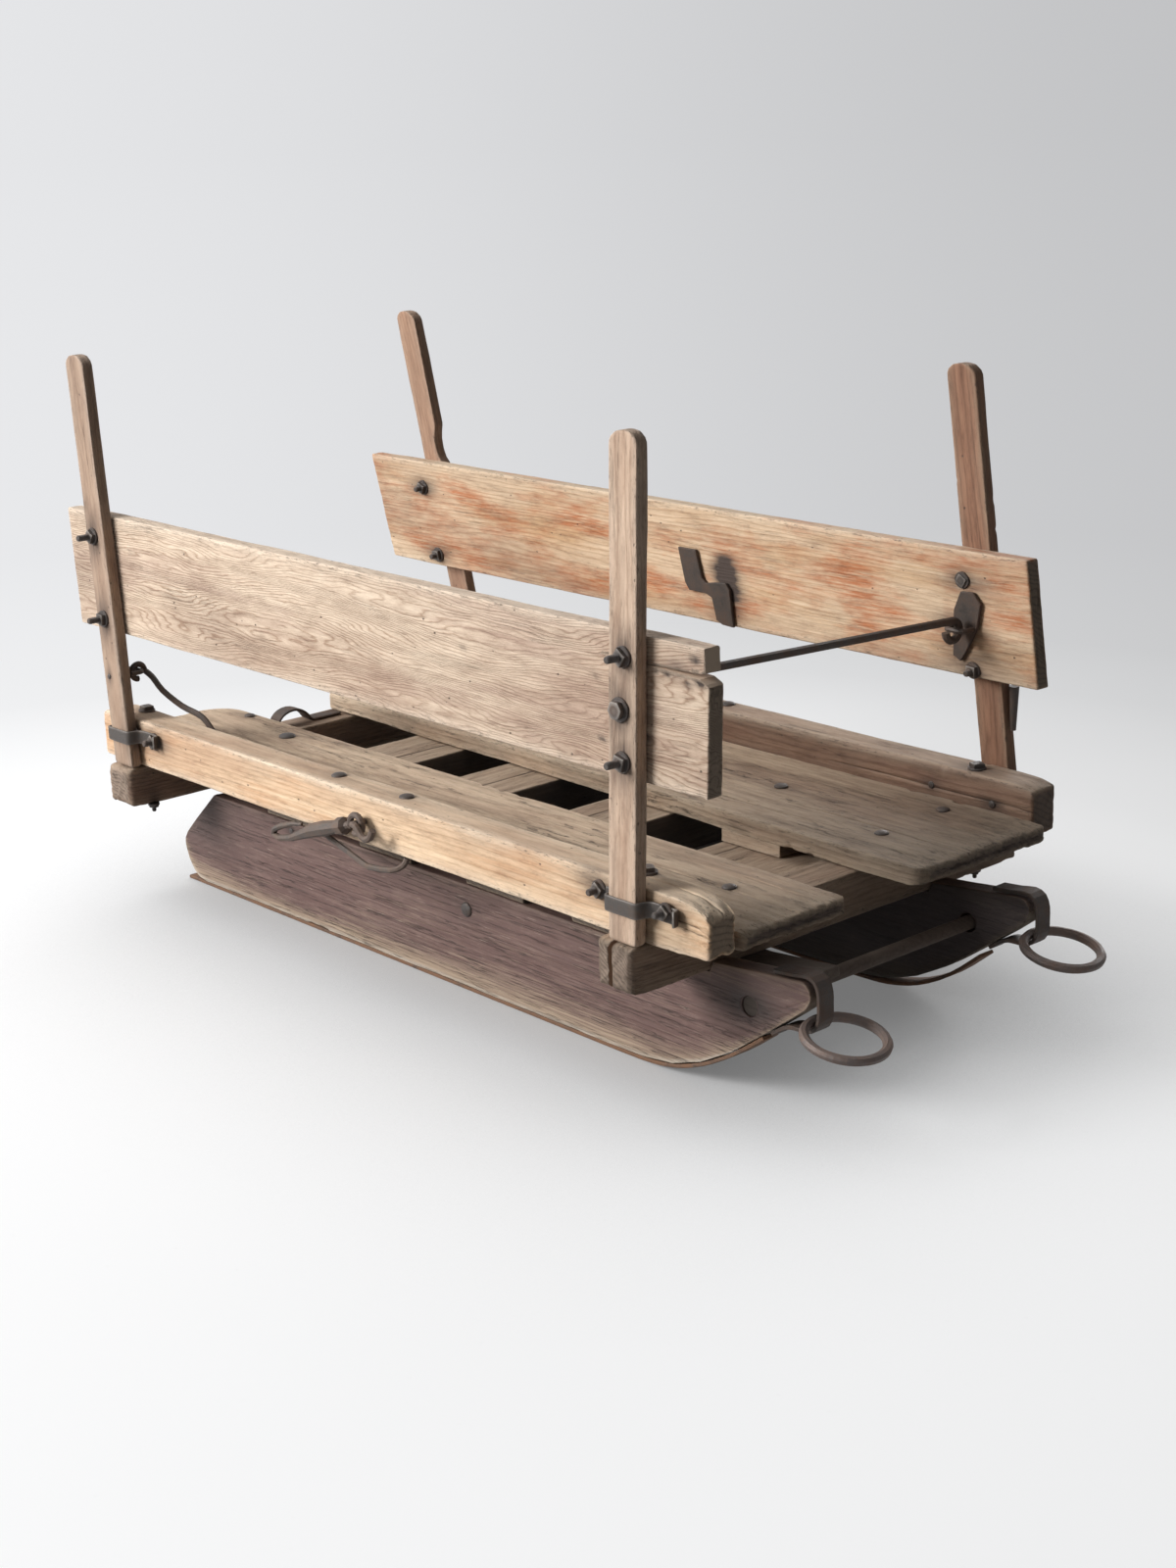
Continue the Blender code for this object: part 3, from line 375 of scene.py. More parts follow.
def timber(spec):
    # P(s, t) = line(s) + section(t): the section's sides follow low and high curves of s, its corners are worn by
    # slow noise, its faces sink by stretched noise and by splits, and both ends close over a few shrinking rings
    start, end = spec["span"]
    edge, cell = spec.get("edge", 0.004), spec.get("cell", 0.0045)
    seed = spec["seed"]
    lowB, highB, lowC, highC = (spec["b"][0], spec["b"][1], spec["c"][0], spec["c"][1])
    first, last = spec.get("footRound", edge), spec.get("headRound", edge)
    s = np.linspace(start + first, end - last, max(8, int((end - start) / spec.get("step", 0.006))))
    roll = 1 - np.cos(np.radians([0, 18, 36, 54, 72]))
    s = np.concatenate([start + first * roll, s, (end - last * roll)[::-1]])
    inset = np.zeros(len(s))
    for near, size in ((s - start, first), (end - s, last)):
        bend = near < size
        inset[bend] = size - np.sqrt(np.maximum(size ** 2 - (size - near[bend]) ** 2, 0))
    curve = lambda v: np.interp(s, v[0], v[1]) if isinstance(v, tuple) else np.full(len(s), float(v))
    lb, hb, lc, hc = curve(lowB), curve(highB), curve(lowC), curve(highC)
    midB, midC = (lb + hb) / 2, (lc + hc) / 2
    halfB, halfC = np.maximum((hb - lb) / 2 - inset, 0.0006), np.maximum((hc - lc) / 2 - inset, 0.0006)
    splits = spec.get("splits", [])
    loop = sectionLoop(halfB.max(), halfC.max(), cell, splits)
    sideB, sideC, normB, normC = loop.T
    along, around = s[:, None], np.arctan2(sideC + normC * 0.2, sideB + normB * 0.2)[None, :]
    isCorner = (np.abs(normB * normC) > 1e-6)[None, :]
    radius = edge * (0.5 + 0.7 * drift(along / 0.10, np.round(around * 1.3) + 7, seed))
    chips = drift(along / 0.012, np.round(around * 1.3) + 31, seed + 1) * drift(along / 0.15, 3.5 + 0 * around,
            seed + 8)
    radius = radius + edge * spec.get("chips", 1.0) * np.clip(chips - 0.62, 0, 1) * 6
    radius = np.minimum(radius, np.minimum(halfB, halfC)[:, None] * 0.8)
    b = sideB[None, :] * (halfB[:, None] - radius) + normB[None, :] * radius
    c = sideC[None, :] * (halfC[:, None] - radius) + normC[None, :] * radius
    flatB, flatC = sideB * halfB.max(), sideC * halfC.max()
    rough = spec.get("rough", 0.0006)
    sink = rough * (drift(along / 0.09, (flatB + flatC * 1.7)[None, :] / 0.011 + 5, seed + 2)
                    + 0.6 * drift(along / 0.022, (flatB * 1.3 - flatC)[None, :] / 0.006 + 9, seed + 3))
    for where, reach, deep in spec.get("endWear", []):
        worn = np.exp(-np.abs(along - where) / reach)
        sink = sink + deep * worn * (drift(along / 0.010, (flatB + 2 * flatC)[None, :] / 0.008 + 3, seed + 9)
                                     + 0.7 * drift(along / 0.004, (flatB - flatC)[None, :] / 0.0035, seed + 10))
    # dark marks the middle of each split: painted shade inside the crack
    dark = np.zeros(b.shape)
    for n, cut in enumerate(splits):
        onSide = {"bottom": normC < -0.99, "top": normC > 0.99, "right": normB > 0.99,
                  "left": normB < -0.99}[cut["side"]]
        place = sideB if cut["side"] in ("bottom", "top") else sideC
        middle = (onSide & (np.abs(place - cut["at"]) < 1e-6))[None, :]
        grow = np.clip((s - cut["from"]) / 0.02, 0, 1) * np.clip((cut["to"] - s) / 0.02, 0, 1)
        grow = (grow * (0.45 + 0.8 * drift(s / 0.025, n + 3.5, seed + 4)))[:, None]
        sink = sink + np.where(middle, cut["depth"] * grow, 0)
        dark = dark + np.where(middle, grow, 0)
        sway = cut["sway"] * (drift(s / 0.11, n + 0.5, seed + 5) - 0.5)[:, None]
        reach = onSide[None, :] * np.exp(-((place - cut["at"]) *
                (halfB.max() if place is sideB else halfC.max()) / 0.012) ** 2)[None, :]
        if cut["side"] in ("bottom", "top"):
            b = b + sway * reach
        else:
            c = c + sway * reach
    b = b - normB[None, :] * sink
    c = c - normC[None, :] * sink
    rings = np.array([0.88, 0.72, 0.54, 0.36, 0.18])
    cap = lambda row, k: row[None, :] * k[:, None]
    b = np.concatenate([cap(b[0], rings[::-1]), b, cap(b[-1], rings)])
    c = np.concatenate([cap(c[0], rings[::-1]), c, cap(c[-1], rings)])
    s = np.concatenate([np.full(5, s[0]), s, np.full(5, s[-1])])
    midB, midC = (np.concatenate([np.full(5, m[0]), m, np.full(5, m[-1])]) for m in (midB, midC))
    endCut = np.zeros(len(s))
    endCut[:7], endCut[-7:] = [1, 1, 1, 1, 1, 0.9, 0.5], [0.5, 0.9, 1, 1, 1, 1, 1]
    pits = spec.get("endRough", 0.0016) * drift(b / 0.006, c / 0.006 + 40, seed + 6) * endCut[:, None]
    a = s[:, None] + np.where(np.arange(len(s))[:, None] < len(s) / 2, pits, -pits)
    b, c = b + midB[:, None], c + midC[:, None]
    share = (a - start) / (end - start)
    a = a + (1 - share) * spec.get("slantStart", 0.0) * (c - c.min()) + share * spec.get("slantEnd",
            0.0) * (c - c.min())
    cols = b.shape[1]
    grid = np.stack([a, b, c], -1).reshape(-1, 3)
    tips = np.array([grid[:cols].mean(0), grid[-cols:].mean(0)])
    grid = np.concatenate([grid, tips])
    closeness = np.exp(-np.minimum(np.abs(np.abs(sideB) - 1) * halfB.max() + 9 * (np.abs(normC) < 0.5),
                                   np.abs(np.abs(sideC) - 1) * halfC.max() + 9 * (np.abs(normB) < 0.5)) / 0.006)
    wear = np.maximum(closeness[None, :] + 0 * a, isCorner)
    for where, reach, _ in spec.get("endWear", []):
        wear = np.maximum(wear, 1.5 * np.exp(-np.abs(s[:, None] - where) / reach) * (normC > 0.3)[None,
                :] * (1 - endCut[:, None]))
    wear = np.clip(wear, 0, 1)
    pad = lambda v: np.concatenate([v.ravel(), v[0, :1], v[-1, :1]])
    splitShadeRows = np.concatenate([np.zeros((5, cols)), dark, np.zeros((5, cols))])
    place = shape(spec, grid)
    obj = meshFrom(spec.get("name", "worn_" + spec["node"]), place, outward(place, tubeFaces(len(s), cols)))
    dressTimber(obj, spec, grid, pad(wear), pad(np.repeat(endCut[:, None], cols, 1)), pad(splitShadeRows))
    return obj


def shape(spec, local):
    # local (along, across, up) to the sled's own x, y and z, with the piece's lean
    a, b, c = local.T
    if spec["axis"] == "x":
        return np.stack([a, b + spec.get("lean", 0.0) * (c - railTop), c], 1)
    if spec["axis"] == "y":
        return np.stack([b, a, c], 1)
    return np.stack([b + spec.get("back", 0.0) * (a - bedLow), c + spec.get("lean", 0.0) * (a - railTop), a], 1)


def dressTimber(obj, spec, local, wear, endCut, dark):
    # attributes that the wood finish reads: place along the grain, worn edges, end grain, iron stains with painted
    # shade in the splits, grey weather, and painted shade with some soil on faces where shade falls
    points, normals = readVertices(obj, "co"), readVertices(obj, "normal")
    # painted shade in the splits joins the iron stains round the bolts
    stain = dark.astype(float) * 1.2
    for x, y, z, radius, amount in spec.get("stains", []) + nearBolts(points):
        away = (points - [x, y, z]) / radius
        away[:, 0 if spec["axis"] == "x" else 2] *= 0.5
        stain = np.maximum(stain, amount * np.exp(-(away ** 2).sum(1)))
    setAttribute(obj, "grainPlace", local + np.array([0.37, 0.11, 0.23]) * spec["seed"])
    setAttribute(obj, "wornEdge", wear)
    setAttribute(obj, "endCut", endCut)
    setAttribute(obj, "stainAndShade", np.clip(stain, 0, 1.5))
    setAttribute(obj, "weather", np.clip(normals[:, 2], 0, 1) ** 2)
    # painted shade with some soil: faces turned under or away from the light, the sides of parts in the gaps, and
    # the bed's front, darkened by normal or by place along x
    soil = np.zeros(len(points))
    for kind, begin, full, amount in spec.get("soil", []):
        if kind == "along":
            share = np.clip((points[:, 0] - begin) / (full - begin), 0, 1)
        else:
            share = np.clip(normals[:, "xyz".index(kind)] * begin, 0, 1) * full
        soil = np.maximum(soil, amount * share)
    setAttribute(obj, "soil", soil)
    obj.data.materials.append(woods[spec["wood"]])
    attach(obj, "frame")
    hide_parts(spec["node"])


# bolts, nuts, heads and nails: kind, x from the rails' rear end, then y or z on the face, size, turn
bolts = {
    "stakeRight": [("nut", 1.1405, 0.541, 0.0098, 10), ("hex", 1.1350, 0.481, 0.0112, 4),
                   ("nut", 1.1385, 0.422, 0.0098, 30),
                   ("nut", 0.0450, 0.536, 0.0095, 15), ("nut", 0.0590, 0.420, 0.0095, 38),
                   ("nail", 0.0640, 0.337, 0.0038, 0)],
    "stakeLeft": [("dome", 0.0300, 0.522, 0.0105, 0), ("dome", 0.0450, 0.415, 0.0105, 0),
                  ("dome", 1.1210, 0.525, 0.0105, 0),
                  ("dome", 1.1250, 0.409, 0.0105, 0)],
    "boardRight": [("dome", 1.1405, 0.541, 0.0105, 0), ("dome", 1.1350, 0.481, 0.0105, 0),
                   ("dome", 1.1385, 0.422, 0.0105, 0),
                   ("dome", 0.0450, 0.536, 0.0105, 0), ("dome", 0.0590, 0.420, 0.0105, 0)],
    "boardLeft": [("nut", 0.0300, 0.522, 0.0092, 20), ("nut", 0.0450, 0.415, 0.0092, 50),
                  ("nut", 1.1235, 0.4075, 0.0088, 40)],
    "byPlate": [("low", 1.1150, 0.5250, 0.0086, 12)],
    "railRight": [("nut", 1.0770, 0.2560, 0.0092, 8), ("nut", 0.1430, 0.2520, 0.0098, 8)],
    "footRight": [("nut", 1.1900, 0.2570, 0.0088, 6), ("nut", 0.0985, 0.2540, 0.0092, 24)],
    "footLeft": [("nut", 1.1960, 0.2540, 0.0092, 12), ("nut", 0.0985, 0.2540, 0.0092, 24)],
    "railLeftInner": [("nail", 1.0659, 0.2464, 0.0050, 0), ("nail", 1.0796, 0.2160, 0.0045, 0),
                      ("nail", 1.1661, 0.2410, 0.0050, 0)],
    "railTop": [("square", 1.1174, -0.2830, 0.0095, 12), ("square", 0.0666, -0.2836, 0.0095, 40),
                ("dome", 0.5407, -0.2907, 0.0100, 0),
                ("dome", 0.6822, -0.2897, 0.0100, 0), ("dome", 0.6620, 0.3050, 0.0100, 0),
                ("square", 1.1248, 0.2914, 0.0095, 20),
                ("square", 0.0700, 0.2914, 0.0095, 33)],
    "plankTop": [("dome", 0.9020, 0.1620, 0.0095, 0), ("dome", 1.1230, 0.2270, 0.0090, 0),
                 ("dome", 1.1310, 0.1010, 0.0090, 0),
                 ("dome", 0.2090, -0.1410, 0.0120, 0), ("dome", 0.0720, -0.1120, 0.0080, 0),
                 ("dome", 1.1370, -0.1720, 0.0090, 0),
                 ("dome", 0.0760, 0.1200, 0.0085, 0), ("dome", 0.3200, 0.1650, 0.0090, 0),
                 ("nail", 0.5350, -0.2000, 0.0040, 0),
                 ("nail", 0.5400, 0.1500, 0.0040, 0), ("nail", 0.7650, -0.2050, 0.0040, 0),
                 ("nail", 0.7600, 0.1700, 0.0040, 0)],
    "bearerTop": [("dome", 1.0290, -0.0500, 0.0080, 0), ("dome", 1.0780, -0.0500, 0.0065, 0)],
    "runnerRight": [("dome", 0.7068, 0.1138, 0.0100, 0), ("nail", 0.3210, 0.1350, 0.0045, 0),
                    ("nail", 0.9700, 0.1330, 0.0045, 0)],
    "runnerLeft": [("dome", 0.7068, 0.1138, 0.0100, 0), ("nail", 0.3210, 0.1350, 0.0045, 0)],
    "under": [("nut", 1.1415, 0.2700, 0.0062, 10), ("nut", 0.1020, -0.3060, 0.0066, 35),
              ("nut", 0.0700, 0.2914, 0.0060, 5)],
}
# each face: its base along y or z, its lean, the way it looks and whether the second number is y or z
boltFaces = {"stakeRight": (-0.3402, 0.019, -1, "z"), "stakeLeft": (0.340, -0.1233, 1, "z"),
             "boardRight": (-0.2977, 0.019, 1, "z"),
             "boardLeft": (0.2977, -0.1233, -1, "z"), "byPlate": (0.2977, -0.1233, -1, "z"),
             "railRight": (-0.321, 0.0, -1, "z"), "footRight": (-0.3248, 0.0, -1, "z"),
             "footLeft": (0.3248, 0.0, 1, "z"), "railLeftInner": (0.271, 0.0, -1, "z"),
             "railTop": (0.2763, 0.0, 1, "y"),
             "plankTop": (0.2353, 0.0, 1, "y"), "bearerTop": (0.190, 0.0, 1, "y"),
             "runnerRight": (-0.221, 0.0, -1, "z"),
             "runnerLeft": (0.195, 0.0, 1, "z"), "under": (0.1483, 0.0, -1, "y")}
studLength = {"under": 0.006, "railRight": 0.011, "footRight": 0.012, "footLeft": 0.010, "boardLeft": 0.009}


def boltPlace(face, x, second):
    # point on the face and the unit way it looks
    base, lean, way, kind = boltFaces[face]
    if kind == "y":
        return np.array([railRear + x, second, base]), np.array([0.0, 0.0, float(way)])
    look = np.array([0.0, way, -way * lean])
    return np.array([railRear + x, base + lean * (second - railTop), second]), look / np.linalg.norm(look)


stainOf = {"low": 1.0, "nut": 1.0, "hex": 1.0, "square": 0.8, "nail": 0.9, "dome": 0.35}
boltMarks = [(*boltPlace(face, e[1], e[2])[0], e[3], stainOf[e[0]]) for face, rows in bolts.items()
             for e in rows]


def nearBolts(points):
    # iron stains round each bolt that is close to these points
    low, high = points.min(0) - 0.02, points.max(0) + 0.02
    return [(*m[:3], m[3] * 1.7, m[4]) for m in boltMarks if all(low[i] < m[i] < high[i] for i in range(3))]


def boltRows(kind, size, reach):
    # rows of radius, height, share of the flat sides and thread depth, from under the face to the tip
    if kind == "nail":
        a = np.radians(np.linspace(0, 85, 6))
        return np.concatenate([[[size, -0.001, 0, 0]], np.stack([size * np.cos(a), 0.0014 * np.sin(a), 0 * a,
                0 * a], 1)])
    if kind == "dome":
        a = np.radians(np.linspace(0, 86, 10))
        return np.concatenate([[[size, -0.001, 0, 0]], np.stack([size * np.cos(a), 0.36 * size * np.sin(a),
                0 * a, 0 * a], 1)])
    high = size * (0.46 if kind == "low" else 0.80)
    washer, thick = size * 1.28, 0.0020
    rows = [[washer, -0.001, 0, 0], [washer, thick * 0.6, 0, 0], [washer * 0.95, thick, 0, 0],
            [size * 1.02, thick, 0.3, 0],
            [size, thick * 1.1, 1, 0], [size, high * 0.80, 1, 0], [size * 0.97, high * 0.95, 0.9, 0],
            [size * 0.88, high, 0.6, 0]]
    if kind != "nut":
        return np.array(rows + [[size * 0.45, high * 1.04, 0, 0]])
    rod = size * 0.44
    up = np.linspace(high, high + reach - 0.0012, max(6, int(reach / 0.0005)))
    thread = np.stack([0 * up + rod, up, 0 * up, 0 * up + 0.0003], 1)
    return np.concatenate([rows, [[rod * 1.15, high * 1.01, 0, 0]], thread,
                           [[rod * 0.8, high + reach, 0, 0], [rod * 0.3, high + reach, 0, 0]]])


def makeBolts(name, faces):
    # R(t, row) = radius (1 - flat + flat cos(pi/n) / cos(t mod 2pi/n - pi/n)) + thread sin(t - 2pi height / pitch)
    cols = 36
    t = np.linspace(0, 2 * math.pi, cols, endpoint=False)[None, :]
    allPoints, allFaces, wear, count = [], [[], []], [], 0
    for face in faces:
        for index, (kind, x, second, size, turn) in enumerate(bolts[face]):
            where, look = boltPlace(face, x, second)
            rows = boltRows(kind, size, studLength.get(face, 0.017))
            radius, high, flat, thread = (rows[:, i:i + 1] for i in range(4))
            n = 6 if kind == "hex" else 4
            wedge = math.cos(math.pi / n) / np.cos(np.mod(t + math.radians(turn),
                    2 * math.pi / n) - math.pi / n)
            r = radius * (1 - flat + flat * wedge * (1.0 if n == 6 else 1.12)) + thread * np.sin(t - 2 *
                    math.pi * high / 0.0014)
            r = r * (1 + 0.05 * (drift(t * 2.0 + index * 9, high / 0.004, 51) - 0.5))
            side = np.cross([1.0, 0.0, 0.0], look)
            tilt = look + 0.05 * (drift(index * 3.1, x * 40, 52) - 0.5) * side
            a, b = np.array([1.0, 0.0, 0.0]), side
            pts = where + r[..., None] * (np.cos(t)[..., None] * a + np.sin(t)[..., None] * b) + high[...,
                    None] * tilt
            grid = pts.reshape(-1, 3)
            ends = np.array([pts[0].mean(0), pts[-1].mean(0)])
            pts = np.concatenate([grid, ends])
            made = outward(pts, tubeFaces(len(rows), cols))
            allFaces[0].append(made[0] + count)
            allFaces[1] += [made[1] + count, made[2] + count]
            allPoints.append(pts)
            rim = np.clip((flat > 0.3) & (flat < 1), 0, 1) + 0 * t
            wear.append(np.concatenate([rim.ravel(), [0, 0.3]]))
            count += len(pts)
    obj = meshFrom(name, np.concatenate(allPoints), [np.concatenate(allFaces[0]), np.concatenate(allFaces[1])],
                   False)
    setAttribute(obj, "wornEdge", np.concatenate(wear))
    obj.data.materials.append(irons["bolt"])
    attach(obj, "frame")
    return obj


# wood finishes
woodFinish = {
    "rail": {"pale": (0.90, 0.68, 0.46), "deep": (0.52, 0.31, 0.16), "grey": (0.74, 0.62, 0.48),
             "greySide": 0.10, "tint": (0.74, 0.38, 0.17),
             "tintHow": 0.65, "ring": 0.0075, "figure": 0.28, "dirt": 0.22, "checks": 0.35,
             "cut": (0.42, 0.31, 0.22)},
    # the left rail's finish is a darker copy of the rail's: painted shade for a rail that lies in shade, with more
    # dirt and checks
    "railLeft": {"pale": (0.56, 0.36, 0.24), "deep": (0.24, 0.115, 0.075), "grey": (0.60, 0.48, 0.36),
                 "greySide": 0.05,
                 "tint": (0.28, 0.12, 0.08), "tintHow": 0.8, "ring": 0.0075, "figure": 0.5, "dirt": 0.6,
                 "checks": 0.8,
                 "cut": (0.16, 0.11, 0.08)},
    "deck": {"pale": (0.70, 0.54, 0.39), "deep": (0.35, 0.235, 0.145), "grey": (0.66, 0.53, 0.39),
             "greySide": 0.3, "tint": (0.36, 0.25, 0.16),
             "tintHow": 0.7, "ring": 0.0070, "figure": 0.35, "dirt": 0.8, "checks": 0.8, "gash": 0.95,
             "cut": (0.17, 0.12, 0.09),
             "bump": 1.8},
    "boardRight": {"pale": (0.81, 0.67, 0.52), "deep": (0.38, 0.245, 0.16), "grey": (0.70, 0.58, 0.46),
                   "greySide": 0.15,
                   "tint": (0.50, 0.335, 0.26), "tintHow": 0.65, "ring": 0.0042, "figure": 1.5, "dirt": 0.12,
                   "checks": 0.30,
                   "cut": (0.40, 0.30, 0.22), "bump": 1.5},
    "boardLeft": {"pale": (0.76, 0.59, 0.41), "deep": (0.42, 0.25, 0.14), "grey": (0.62, 0.50, 0.37),
                  "greySide": 0.15,
                  "tint": (0.64, 0.38, 0.18), "tintHow": 0.75, "gash": 0.3, "ring": 0.0060, "figure": 0.55,
                  "dirt": 0.25, "checks": 0.35,
                  "cut": (0.22, 0.16, 0.11), "paint": (0.46, 0.155, 0.055)},
    "stakePale": {"pale": (0.72, 0.54, 0.40), "deep": (0.42, 0.26, 0.17), "grey": (0.52, 0.41, 0.32),
                  "greySide": 0.25,
                  "tint": (0.36, 0.24, 0.17), "tintHow": 0.85, "ring": 0.0050, "figure": 0.5, "dirt": 0.6,
                  "checks": 0.8, "gash": 0.4,
                  "cut": (0.38, 0.28, 0.20)},
    "stakeRear": {"pale": (0.44, 0.305, 0.215), "deep": (0.28, 0.175, 0.115), "grey": (0.42, 0.33, 0.26),
                  "greySide": 0.25,
                  "tint": (0.26, 0.165, 0.115), "tintHow": 0.8, "ring": 0.0050, "figure": 0.5, "dirt": 0.5,
                  "checks": 0.7,
                  "cut": (0.30, 0.22, 0.16)},
    "stakeBrown": {"pale": (0.36, 0.19, 0.115), "deep": (0.18, 0.085, 0.05), "grey": (0.36, 0.26, 0.18),
                   "greySide": 0.08,
                   "tint": (0.24, 0.11, 0.065), "tintHow": 0.7, "ring": 0.0055, "figure": 0.6, "dirt": 0.3,
                   "checks": 0.5,
                   "cut": (0.35, 0.25, 0.18)},
    "stakeMid": {"pale": (0.43, 0.265, 0.175), "deep": (0.24, 0.13, 0.08), "grey": (0.38, 0.28, 0.21),
                 "greySide": 0.15,
                 "tint": (0.42, 0.20, 0.11), "tintHow": 0.6, "ring": 0.0050, "figure": 0.6, "dirt": 0.5,
                 "checks": 0.6,
                 "cut": (0.35, 0.25, 0.18)},
    "bolster": {"pale": (0.40, 0.28, 0.20), "deep": (0.17, 0.11, 0.08), "grey": (0.38, 0.29, 0.21),
                "greySide": 0.3,
                "tint": (0.16, 0.10, 0.075), "tintHow": 0.7, "ring": 0.0060, "figure": 0.5, "dirt": 0.6,
                "checks": 0.9,
                "cut": (0.36, 0.265, 0.20), "bump": 1.8},
    "bearer": {"pale": (0.56, 0.43, 0.31), "deep": (0.29, 0.20, 0.13), "grey": (0.54, 0.43, 0.32),
               "greySide": 0.35,
               "tint": (0.28, 0.20, 0.14), "tintHow": 0.6, "ring": 0.0065, "figure": 0.4, "dirt": 0.7,
               "checks": 0.7, "gash": 0.8,
               "cut": (0.22, 0.17, 0.13)},
    "rod": {"pale": (0.15, 0.115, 0.09), "deep": (0.07, 0.05, 0.04), "grey": (0.16, 0.13, 0.10),
            "greySide": 0.3,
            "tint": (0.07, 0.05, 0.04), "tintHow": 0.5, "ring": 0.0060, "figure": 0.3, "dirt": 0.5,
            "checks": 0.6,
            # the rod's near-black cut colour is painted shade for its ends sitting in the runners' holes
            "cut": (0.030, 0.024, 0.020)},
}


